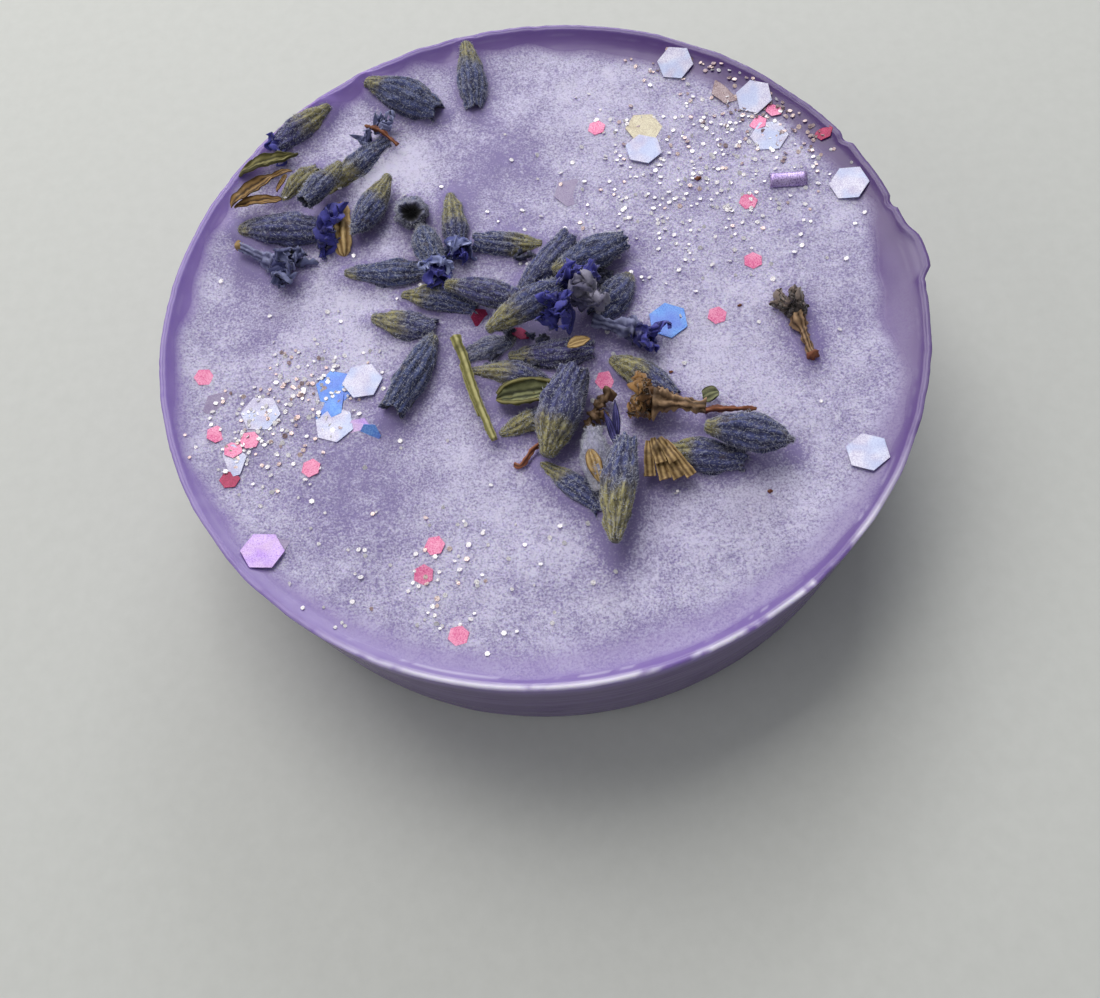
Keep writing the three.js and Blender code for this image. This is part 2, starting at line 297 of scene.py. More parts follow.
# ---------------------------------------------------------------- materials
def wax_look():
    """Frosted lilac wax, clear and glossy by the rim; shade is painted down its side, round half-sunk pieces
    and on the far rim, and a highlight on its crest.
    """
    look = Look(
        "lilac_wax",
        Subsurface_Weight=0.35,
        Subsurface_Scale=1.0 * MM,
        Subsurface_Radius=(1.0, 0.7, 1.6),
        IOR=1.44,
    )
    frost = look.attribute("frost")
    contact_shade = look.attribute("contact_shade")
    chalk_and_highlight = look.attribute("chalk_and_highlight")
    cloudy = look.attribute("cloudy")
    shaded = look.attribute("shaded")
    grain = look.noise(0.17 * MM, 2, 0.7)
    speckle = look.noise(0.42 * MM, 3, 0.6, 0.3)
    cloud = look.noise(3.2 * MM, 3, 0.6, 0.7)
    crystals = look.blend(grain, 0.7, speckle, 0.3)
    shade = look.math("ADD", look.about_zero(cloud, 0.34), cloudy)
    # Painted contact shade: the frost is darkened close to half-sunk pieces.
    shade = look.math("SUBTRACT", shade, look.math("MULTIPLY", contact_shade, 0.22))
    crystals = look.math("ADD", crystals, shade)
    crystals = look.math("MULTIPLY", look.fade(crystals, 0.28, 0.66), frost)
    clear = look.mix(look.noise(2.5 * MM, 2, 0.5, 0.1), (0.215, 0.135, 0.42), (0.27, 0.19, 0.48))
    clear = look.mix(shaded, clear, (0.088, 0.038, 0.18))
    deep = look.mix(frost, clear, (0.23, 0.185, 0.40))
    pale = look.mix(look.noise(0.9 * MM, 2, 0.5, 0.9), (0.63, 0.59, 0.80), (0.72, 0.69, 0.87))
    base = look.mix(crystals, deep, pale)
    # Painted shade: the side wall is darkened to deep purple, over its drawn streaks.
    sides = look.attribute("sides")
    lines = look.noise(0.55 * MM, 3, 0.6, 4.0, squash=(0.03, 0.03, 1))
    dark = look.mix(look.fade(lines, 0.45, 0.62), (0.115, 0.066, 0.215), (0.155, 0.10, 0.27))
    base = look.mix(sides, base, dark)
    # The crest's white line: chalky wax with a painted highlight.
    look.color(look.mix(chalk_and_highlight, base, (0.76, 0.72, 0.88)))
    look.roughness(look.fade(frost, 0, 1, 0.27, 0.58))
    drawn = look.noise(0.3 * MM, 2, 0.5, 2.0, squash=(0.06, 0.06, 1))
    drawn = look.math("ADD", drawn, lines)
    side = look.math("MULTIPLY", drawn, look.fade(frost, 0, 0.1, 0.25, 0))
    height = look.blend(crystals, 0.8, cloud, 0.4)
    look.bump(look.math("ADD", height, side), 0.05 * MM)
    return look.material


def calyx_look():
    """Dried hairy calyx: yellow-green at the stalk, blue-grey to violet towards the mouth, with painted
    shade underneath and in the mouth's hollow.
    """
    look = Look("lavender_calyx", Sheen_Weight=0.25, Sheen_Roughness=0.5, IOR=1.4)
    green = look.attribute("green")
    rib = look.attribute("rib")
    tone = look.attribute("tone")
    pale = look.attribute("pale")
    hollow = look.attribute("hollow")
    under = look.attribute("under")
    grain = look.vector("grain")
    patch = look.noise(1.3 * MM, 3, 0.6, along=grain)
    fibre = look.noise(0.16 * MM, 3, 0.7, 0.4, along=grain, squash=(0.3, 1, 1))
    mottle = look.noise(0.38 * MM, 3, 0.75, 1.1, along=grain, squash=(0.7, 1, 1))
    down = look.noise(0.15 * MM, 2, 0.8, 0.8, along=grain, squash=(0.55, 1, 1))
    spread = look.about_zero(patch, 1.3)
    streak = look.about_zero(fibre, 0.7)
    grown = look.fade(look.math("ADD", look.math("ADD", green, spread), streak), 0.25, 0.85)
    crest = look.blend(rib, 0.26, fibre, 0.85)
    crest = look.fade(crest, 0.35, 0.8)
    groove = look.mix(tone, (0.014, 0.020, 0.070), (0.030, 0.019, 0.088))
    groove = look.mix(grown, groove, (0.105, 0.090, 0.036))
    ridge = look.mix(tone, (0.080, 0.110, 0.27), (0.115, 0.100, 0.31))
    ridge = look.mix(grown, ridge, (0.46, 0.415, 0.185))
    body = look.mix(crest, groove, ridge)
    body = look.mix(look.fade(mottle, 0.5, 0.68, 0, 0.75), body, (0.013, 0.013, 0.034))
    brown = look.fade(look.noise(0.9 * MM, 2, 0.5, 1.7), 0.6, 0.75, 0, 0.45)
    body = look.mix(brown, body, (0.13, 0.09, 0.06))
    hairs = look.math("MULTIPLY", look.fade(down, 0.52, 0.64), look.fade(pale, 0, 1, 0.4, 0.85))
    hairs = look.math("MULTIPLY", hairs, look.fade(grown, 0, 1, 1, 0.45))
    body = look.mix(hairs, body, (0.46, 0.48, 0.58))
    wax = look.math("ADD", pale, look.about_zero(patch, 0.9))
    body = look.mix(look.fade(wax, 0.5, 1.15, 0, 0.6), body, (0.50, 0.47, 0.62))
    # Painted shade on the side that faces down.
    body = look.mix(under, body, (0.014, 0.013, 0.036))
    # Painted shade deep in the hollow of the mouth.
    look.color(look.mix(hollow, body, (0.012, 0.010, 0.012)))
    look.roughness(look.fade(fibre, 0, 1, 0.6, 0.95))
    rough = look.blend(mottle, -0.8, down, 0.6)
    look.bump(look.math("ADD", fibre, rough), 0.14 * MM)
    return look.material


def hair_look():
    look = Look("calyx_hair", IOR=1.45)
    shade = look.noise(0.8 * MM, 2)
    look.color(look.mix(shade, (0.34, 0.36, 0.46), (0.72, 0.72, 0.78)))
    look.roughness(look.fade(shade, 0, 1, 0.45, 0.8))
    return look.material


def petal_look(name, deep, light):
    """Crumpled dried petal: dark in its folds and lighter along its edges."""
    look = Look(name, Sheen_Weight=0.3, Sheen_Roughness=0.4, IOR=1.42)
    edge = look.attribute("edge")
    vein = look.noise(0.25 * MM, 3, 0.65)
    patch = look.noise(0.9 * MM, 2, 0.5, 0.5)
    share = look.blend(edge, 0.55, vein, 0.6)
    body = look.mix(look.fade(share, 0.25, 0.95), deep, light)
    bleached = tuple(0.5 + 0.5 * value for value in light)
    look.color(look.mix(look.fade(patch, 0.66, 0.85, 0, 0.4), body, bleached))
    look.roughness(look.fade(vein, 0, 1, 0.4, 0.8))
    look.bump(vein, 0.05 * MM)
    return look.material


def plant_look(name, dark, light, size=0.35 * MM):
    """Dried stem, leaf or husk: light ribs with dark grooves, and stained in patches."""
    look = Look(name, IOR=1.45)
    rib = look.attribute("rib")
    fibre = look.noise(size, 4, 0.65)
    stain = look.noise(1.6 * MM, 3, 0.6, 0.6)
    share = look.blend(rib, 0.65, fibre, 0.5)
    body = look.mix(look.fade(share, 0.2, 0.95), dark, light)
    darker = tuple(0.35 * value for value in dark)
    look.color(look.mix(look.fade(stain, 0.55, 0.75, 0, 0.7), body, darker))
    look.roughness(look.fade(fibre, 0, 1, 0.45, 0.85))
    look.bump(fibre, 0.06 * MM)
    return look.material


def foil_look(name, face, glint, metallic, roughness, rainbow=None):
    """Metallised film: fine sparkling grain over a broad shift of colour, perhaps to a rainbow tint."""
    look = Look(name, Metallic=metallic, IOR=1.45, Coat_Weight=0.15, Coat_Roughness=0.2)
    grain = look.noise(0.11 * MM, 2, 0.8)
    shift = look.noise(1.2 * MM, 2, 0.5, 0.2)
    share = look.blend(grain, 0.75, shift, 0.35)
    body = look.mix(look.fade(share, 0.4, 0.72), face, glint)
    if rainbow:
        tint = look.fade(look.noise(1.7 * MM, 1, 0.5, 3.0), 0.4, 0.66, 0, 0.5)
        body = look.mix(tint, body, rainbow)
    look.color(body)
    look.roughness(look.fade(grain, 0.3, 0.7, roughness, roughness + 0.25))
    look.bump(grain, 0.03 * MM)
    return look.material


def floor_look():
    look = Look("pale_floor", IOR=1.4)
    look.color(look.mix(look.noise(1.4 * MM, 3, 0.6), (0.60, 0.61, 0.58), (0.66, 0.67, 0.64)))
    look.roughness(look.fade(look.noise(0.8 * MM), 0, 1, 0.75, 0.95))
    return look.material


WAX = wax_look()
CALYX = calyx_look()
HAIR = hair_look()
DEEP_PETAL = petal_look("deep_blue_petal", (0.010, 0.008, 0.10), (0.080, 0.080, 0.44))
PALE_PETAL = petal_look("pale_blue_petal", (0.060, 0.075, 0.28), (0.38, 0.42, 0.70))
DUSKY_PETAL = petal_look("dusky_petal", (0.035, 0.038, 0.14), (0.24, 0.26, 0.46))
GREY_PETAL = petal_look("grey_petal", (0.055, 0.05, 0.13), (0.34, 0.32, 0.42))
GREEN = plant_look("green_stem", (0.17, 0.16, 0.04), (0.50, 0.46, 0.20))
LEAF = plant_look("green_leaf", (0.030, 0.034, 0.014), (0.26, 0.27, 0.13))
BROWN = plant_look("brown_husk", (0.07, 0.035, 0.015), (0.40, 0.25, 0.14))
GOLDEN = plant_look("golden_husk", (0.20, 0.11, 0.03), (0.62, 0.43, 0.19))
SHEAF = plant_look("split_sheaf", (0.12, 0.062, 0.018), (0.52, 0.35, 0.15), 0.22 * MM)
RUST = plant_look("rust_stalk", (0.10, 0.025, 0.012), (0.36, 0.13, 0.06))
GREY_STALK = plant_look("grey_stalk", (0.045, 0.045, 0.13), (0.27, 0.28, 0.46))
AMBER_BRACT = plant_look("amber_bract", (0.055, 0.024, 0.008), (0.42, 0.25, 0.085))
BROWN_PETAL = petal_look("brown_petal", (0.09, 0.035, 0.010), (0.40, 0.21, 0.07))
STRIP = plant_look("petal_strip", (0.008, 0.006, 0.06), (0.11, 0.10, 0.32), 0.2 * MM)
OLIVE = plant_look("olive_leaf", (0.060, 0.055, 0.014), (0.30, 0.27, 0.10))
DARK_PETAL = petal_look("dark_petal", (0.04, 0.03, 0.03), (0.24, 0.18, 0.15))
# Each film: its face, its glint, metallic share, roughness and perhaps a rainbow tint.
FILMS = {
    "white_foil": ((0.46, 0.42, 0.62), (0.82, 0.81, 0.93), 0.15, 0.3, (0.42, 0.55, 0.86)),
    "blue_foil": ((0.07, 0.20, 0.66), (0.22, 0.44, 0.86), 0.3, 0.3, (0.12, 0.16, 0.62)),
    "gold_foil": ((0.50, 0.42, 0.30), (0.84, 0.78, 0.60), 0.2, 0.35),
    "violet_foil": ((0.40, 0.22, 0.68), (0.70, 0.52, 0.86), 0.2, 0.25, (0.62, 0.45, 0.62)),
    "curl_foil": ((0.30, 0.20, 0.50), (0.62, 0.50, 0.80), 0.55, 0.18),
    "pink_foil": ((0.70, 0.08, 0.27), (0.95, 0.40, 0.60), 0.1, 0.25),
    "red_foil": ((0.26, 0.010, 0.06), (0.52, 0.04, 0.14), 0.3, 0.3),
    "silver_foil": ((0.66, 0.62, 0.66), (0.95, 0.93, 0.95), 0.3, 0.2),
    "rose_foil": ((0.58, 0.40, 0.38), (0.92, 0.78, 0.74), 0.4, 0.2),
    "brown_foil": ((0.22, 0.13, 0.14), (0.52, 0.42, 0.44), 0.3, 0.25),
    "veiled_foil": ((0.30, 0.23, 0.42), (0.48, 0.42, 0.58), 0.0, 0.55),
}
FOILS = {name: foil_look(name, *film) for name, film in FILMS.items()}


# ---------------------------------------------------------------- wax body
BUD_NODES = [f"lavender_bud_{number:02d}" for number in range(1, 33)]
SET_IN_WAX = BUD_NODES + [
    "seed_husk",
    "trumpet_floret",
    "floret_tube",
    "crumpled_corolla",
    "brown_flower",
    "brown_floret",
    "bract_sheaf",
    "folded_leaf",
]
TAB_AZIMUTH, TAB_SPREAD = math.radians(0), math.radians(4.6)
TAB_REACH, TAB_RISE = 0.7 * MM, 0.1 * MM
TAB_REACH_INWARD = 2.6 * MM
NOTCHES = [math.radians(azimuth) for azimuth in (-4, 10, 24)]
NOTCH_SPREAD, NOTCH_DEPTH = math.radians(1), 0.25 * MM
MENISCUS_HEIGHT, MENISCUS_LENGTH = 0.42 * MM, 0.5 * MM
CONTACT_SHADE_LENGTH = 0.9 * MM  # how far the painted contact shade darkens the wax round a half-sunk piece
RIM_FADE = 0.9 * MM  # how far in from the crest its raggedness dies out
# Where the frosting is paler or deeper: x, y and spread in millimetres, and the amount.
FROST_CLOUDS = [
    # The first, palest cloud is partly painted highlight: it lightens the frost at the back left, where the
    # softbox glares.
    (-11.5, 16.5, 3.2, 0.25),
    (-14, 3, 6, 0.12),
    (-6, -16, 8, 0.05),
    (-1, 16, 4, -0.18),
    (7, 21, 6, 0.05),
    (13, -6, 7, 0.07),
    (16, -18, 7, 0.05),
    (-22, 4, 3, -0.10),
    (-15, -12, 6, -0.13),
    (-10, 20, 4, 0.06),
]


def set_pieces():
    """Ends, radius and wax-climbing share of every piece that is half sunk in the wax."""
    found = []
    for node in SET_IN_WAX:
        start, end, radius = ends_of(node)
        middle = (start + end) / 2
        over = middle[2] - surface_height(math.hypot(middle[0], middle[1]))
        share = float(smoothstep(1.25 * radius, 0.2 * radius, over))
        found.append((start, end, radius, share))
    return found


SET_PIECES = set_pieces()


def near_pieces(x, y):
    """How far the wax climbs beside the half-sunk pieces, and how close they are, from 0 to 1; the closeness
    carries the painted contact shade.
    """
    climb = np.zeros(len(x))
    contact_shade = np.zeros(len(x))
    for start, end, radius, share in SET_PIECES:
        run = end[:2] - start[:2]
        t = np.clip(((x - start[0]) * run[0] + (y - start[1]) * run[1]) / (run @ run), 0, 1)
        away = np.hypot(x - start[0] - t * run[0], y - start[1] - t * run[1])
        away = np.maximum(0, away - radius * 0.9 * np.sqrt(np.clip(4 * t * (1 - t) + 0.25, 0, 1)))
        climb = np.maximum(climb, share * np.exp(-away / MENISCUS_LENGTH))
        contact_shade = np.maximum(contact_shade, np.exp(-away / CONTACT_SHADE_LENGTH))
    return climb, contact_shade


def bump_at(azimuth, centre, spread):
    away = (azimuth - centre + math.pi) % (2 * math.pi) - math.pi
    return np.exp(-((away / spread) ** 4))


def rim_change(azimuth):
    """Changes of the crest at an azimuth: outward by the pour tab, outward by its raggedness, and up."""
    round_rim = np.stack([np.cos(azimuth), np.sin(azimuth), 0 * azimuth], 1) * RIM_RADIUS
    tab = bump_at(azimuth, TAB_AZIMUTH, TAB_SPREAD)
    notch = np.max([bump_at(azimuth, centre, NOTCH_SPREAD) for centre in NOTCHES], axis=0)
    wave = np.sin(7 * azimuth) + 0.6 * np.sin(17 * azimuth + 1)
    ragged = rumple(round_rim, 2.4 * MM, 5) + 0.5 * rumple(round_rim, 0.8 * MM, 6)
    tab_outward = TAB_REACH * tab
    outward = 0.012 * MM * ragged - 0.9 * NOTCH_DEPTH * notch
    upward = TAB_RISE * tab - 0.6 * NOTCH_DEPTH * notch + 0.025 * MM * wave + 0.015 * MM * ragged
    return tab_outward, outward, upward


def wax_top(x, y):
    """Height of the finished wax surface inside the rim."""
    radius = np.hypot(x, y)
    points = np.stack([x, y, 0 * x], 1)
    inner = smoothstep(RIM_RADIUS, RIM_RADIUS - 4 * MM, radius)
    swell = 0.045 * MM * rumple(points, 8 * MM, 1) + 0.014 * MM * rumple(points, 2.5 * MM, 2)
    upward = rim_change(np.arctan2(y, x))[2]
    creep = np.exp(-np.maximum(0, RIM_RADIUS - CREST_WIDTH - radius) / RIM_FADE)
    climb = near_pieces(x, y)[0]
    return surface_height(radius) + inner * swell + creep * upward + climb * MENISCUS_HEIGHT


def wax_body():
    around = 576
    azimuths = np.linspace(0, 2 * math.pi, around, endpoint=False)
    tab_outward, outward, upward = rim_change(azimuths)
    cosines, sines = np.cos(azimuths), np.sin(azimuths)
    rounding = 0.8 * MM
    rings = []
    for turn in np.linspace(0, math.pi / 2, 5):
        radius = BASE_RADIUS - rounding * (1 - math.sin(turn))
        rings.append((radius, rounding * (1 - math.cos(turn)), 0.0))
    for rise in np.linspace(0.1, 1, 24):
        share = float(smoothstep(0.82, 1.0, rise))
        rings.append((BASE_RADIUS + (RIM_RADIUS - BASE_RADIUS) * rise, HEIGHT * rise - 0.08 * MM, share))
    for turn in np.linspace(0.25, 0.9, 5) * math.pi:
        reach = CREST_WIDTH / 2 * (1 + math.cos(turn))
        rings.append((RIM_RADIUS - CREST_WIDTH + reach, HEIGHT - 0.08 * MM * (1 - math.sin(turn)), 1.0))
    side_count = len(rings)
    vertices = [np.stack([cosines * 0, sines * 0, 0 * sines], 1)[:1]]
    drag = np.stack([cosines, sines, 0 * sines], 1)
    for radius, height, share in rings:
        radii = radius + share * (outward + tab_outward)
        places = np.stack([cosines * radius, sines * radius, 0 * sines + 9 * height], 1)
        drawn = 0.02 * MM * rumple(places, 5 * MM, 8)
        points = drag * (radii + drawn * (height > rounding))[:, None]
        points[:, 2] = height + share * upward
        vertices.append(points)
    inner_radii = np.concatenate(
        [
            RIM_RADIUS - CREST_WIDTH - np.linspace(0.05, 4, 26) * MM,
            np.linspace(RIM_RADIUS - 4.7 * MM, 0.3 * MM, 84),
        ]
    )
    for radius in inner_radii:
        inward = RIM_RADIUS - CREST_WIDTH - radius
        moved = math.exp(-inward / RIM_FADE) * outward
        moved = moved + math.exp(-inward / TAB_REACH_INWARD) * tab_outward
        points = drag * (radius + moved)[:, None]
        points[:, 2] = wax_top(*(drag[:, :2] * radius).T)
        vertices.append(points)
    vertices.append(np.array([[0, 0, wax_top(np.zeros(1), np.zeros(1))[0]]]))
    count = side_count + len(inner_radii)
    vertices = np.concatenate(vertices)
    faces = tube_faces(count, around, 1)
    last = 1 + (count - 1) * around
    faces += [(0, 1 + (j + 1) % around, 1 + j) for j in range(around)]
    faces += [(last + j, last + (j + 1) % around, len(vertices) - 1) for j in range(around)]
    radius = np.hypot(vertices[:, 0], vertices[:, 1])
    radius = np.minimum(radius, RIM_RADIUS)
    on_top = (np.arange(len(vertices)) > side_count * around).astype(float)
    # Painted contact shade: wax close to a half-sunk piece is marked to be darkened.
    contact_shade = near_pieces(vertices[:, 0], vertices[:, 1])[1]
    azimuth = np.arctan2(vertices[:, 1], vertices[:, 0])
    front = np.cos(np.clip(azimuth + math.radians(80), -math.pi / 2, math.pi / 2)) ** 2
    tab = bump_at(azimuth, TAB_AZIMUTH - TAB_SPREAD, 2.2 * TAB_SPREAD)
    far_side = np.exp(-(((azimuth - math.radians(50)) / math.radians(50)) ** 2))
    clear = (1.7 + 1.1 * front + 1.5 * tab + 0.9 * far_side) * MM
    edge = RIM_RADIUS - radius + (0.22 - 0.12 * front) * MM * rumple(vertices, 5 * MM, 9)
    soft = (0.8 + 1.2 * front) * MM
    frost = 0.35 * front * smoothstep(0.7 * MM, 1.5 * MM, edge)
    frost = on_top * np.maximum(frost, smoothstep(clear - soft, clear + soft, edge))
    cloudy = np.zeros(len(vertices))
    for x, y, spread, amount in FROST_CLOUDS:
        away = np.hypot(vertices[:, 0] - x * MM, vertices[:, 1] - y * MM) / (spread * MM)
        cloudy += amount * np.exp(-(away**2))
    # The crest's white line is partly chalky, scuffed wax and partly painted highlight, strongest at the
    # front.
    crest = np.exp(-((radius - RIM_RADIUS + CREST_WIDTH / 2) / (0.22 * MM)) ** 2)
    crest *= vertices[:, 2] > HEIGHT - 0.5 * MM
    broken = rumple(vertices, 5 * MM, 10) + 0.6 * rumple(vertices, 1.2 * MM, 11)
    chalk_and_highlight = crest * smoothstep(-2.4, -0.4, broken)
    inner_line = np.exp(-((RIM_RADIUS - radius - 0.85 * MM) / (0.09 * MM)) ** 2) * on_top
    chalk_and_highlight = np.maximum(chalk_and_highlight, 0.45 * inner_line * smoothstep(-0.2, 1.0, broken))
    chalk_and_highlight *= 0.12 + 0.9 * smoothstep(0.35, 0.8, front)
    lip = smoothstep(HEIGHT - 2.2 * MM, HEIGHT - 0.4 * MM, vertices[:, 2])
    # Painted shade: the side wall below the crest is marked to be darkened.
    sides = (1 - on_top) * smoothstep(HEIGHT - 0.2 * MM, HEIGHT - 2.6 * MM, vertices[:, 2])
    shaded = lip * np.cos(np.clip((azimuth - math.radians(25)) * 0.9, -math.pi / 2, math.pi / 2))
    values = dict(frost=frost, contact_shade=contact_shade * on_top, chalk_and_highlight=chalk_and_highlight, cloudy=cloudy, shaded=shaded, sides=sides)
    return make_piece("wax_melt", vertices, faces, WAX, values, ("wax_body",))


# ---------------------------------------------------------------- sheets and tubes
PETAL_THICKNESS = 0.06 * MM
PETAL_CURL = 0.6  # turns the ruffled edge of a corolla back inwards


def thick_sheet(grid, thickness, closed=False):
    """A closed skin of even thickness round a grid of points, joined on itself where closed."""
    rows, columns = grid.shape[:2]
    along = np.gradient(grid, axis=0)
    if closed:
        sideways = (np.roll(grid, -1, 1) - np.roll(grid, 1, 1)) / 2
    else:
        sideways = np.gradient(grid, axis=1)
    normal = np.cross(along, sideways)
    normal /= np.linalg.norm(normal, axis=2, keepdims=True) + 1e-12
    skins = [grid + normal * thickness / 2, grid - normal * thickness / 2]
    vertices = np.concatenate([skin.reshape(-1, 3) for skin in skins])
    size = rows * columns
    steps = columns if closed else columns - 1
    faces = []
    for i in range(rows - 1):
        for j in range(steps):
            k = (j + 1) % columns
            a, b, c, d = i * columns + j, (i + 1) * columns + j, (i + 1) * columns + k, i * columns + k
            faces.append((a, b, c, d))
            faces.append((size + d, size + c, size + b, size + a))
    for j in range(steps):
        k = (j + 1) % columns
        last = (rows - 1) * columns
        faces.append((j, k, size + k, size + j))
        faces.append((last + k, last + j, size + last + j, size + last + k))
    if not closed:
        for i in range(rows - 1):
            a, b = i * columns, (i + 1) * columns
            faces.append((b, a, size + a, size + b))
            a, b = a + columns - 1, b + columns - 1
            faces.append((a, b, size + b, size + a))
    return vertices, faces


def crumpled_corolla(centre, axis, inner, outer, length, seed, crumple=0.25 * MM, fold_size=1.3 * MM):
    """Five-lobed flower mouth, dried into folds."""
    level, upright = across(axis)
    reach = np.linspace(0, 1, 20)[:, None]
    turn = np.linspace(0, 2 * math.pi, 110, endpoint=False)[None, :]
    random = np.random.default_rng(seed)
    first, second, third = random.uniform(0, 2 * math.pi, 3)
    lobes = 1 - 0.4 * reach * np.abs(np.sin(2.5 * turn + first))
    swell = np.sin(reach * (1.4 + 0.9 * PETAL_CURL)) / math.sin(1.4)
    ruffle = reach**1.3 * (np.sin(11 * turn + second) + 0.7 * np.sin(19 * turn + third))
    radius = (inner + (outer - inner) * swell) * lobes * (1 + 0.1 * ruffle)
    forward = length * (reach**0.8 - 0.2 * reach * np.cos(5 * turn + first)) + 0.5 * crumple * ruffle
    grid = (
        centre
        + forward[..., None] * axis
        + (radius * np.cos(turn))[..., None] * level
        + (radius * np.sin(turn))[..., None] * upright
    )
    flat = grid.reshape(-1, 3)
    folds = []
    for k in range(3):
        folds.append(rumple(flat, fold_size, seed + k) + 0.6 * rumple(flat, 0.4 * fold_size, seed + 7 + k))
    fold = (np.stack(folds, 1) * crumple).reshape(grid.shape)
    grid = grid + fold * (0.25 + 0.75 * reach[..., None])
    vertices, faces = thick_sheet(grid, PETAL_THICKNESS, closed=True)
    edge = np.tile(np.broadcast_to(reach**2, grid.shape[:2]).reshape(-1), 2)
    return vertices, faces, edge


def petal_piece(name, material, blooms, slot="lavender_corolla", replaces=()):
    """One piece made of one or more crumpled corollas."""
    mesh = Mesh("edge")
    for bloom in blooms:
        vertices, faces, edge = crumpled_corolla(**bloom)
        mesh.add(vertices, faces, edge=edge)
    return mesh.piece(name, material, slot, replaces)


# ---------------------------------------------------------------- buds
HAIR_THICKNESS, HAIR_LENGTH = 0.023 * MM, 0.3 * MM
SPIKE_FACES = [(0, 1, 3), (1, 2, 3), (2, 0, 3), (0, 2, 1)]


def hairs_on(mesh, roots, normals, lean, random, count):
    """Short stiff hairs, each a slim spike rooted in the surface and leaning towards the mouth."""
    for index in random.integers(0, len(roots), count):
        normal = normals[index]
        aim = unit(0.8 * normal + 0.6 * lean + 0.6 * random.normal(size=3))
        side, upright = across(aim)
        reach = HAIR_LENGTH * random.uniform(0.4, 1.3)
        thick = HAIR_THICKNESS * random.uniform(0.7, 1.4)
        root = roots[index] - 0.03 * MM * normal
        base = [root + thick * (math.cos(a) * side + math.sin(a) * upright) for a in (0, 2.1, 4.2)]
        mesh.add(base + [root + reach * aim], SPIKE_FACES, grain=np.zeros((4, 3)))


def calyx_outline(along, widest, mouth_width):
    """Half width along a calyx: a narrow stalk end, widest past the middle, drawn in at the mouth."""
    rising = 0.30 + 0.70 * np.sin(math.pi / 2 * np.minimum(1, along / widest)) ** 1.15
    return rising * (1 - (1 - mouth_width) * smoothstep(widest, 1.02, along))


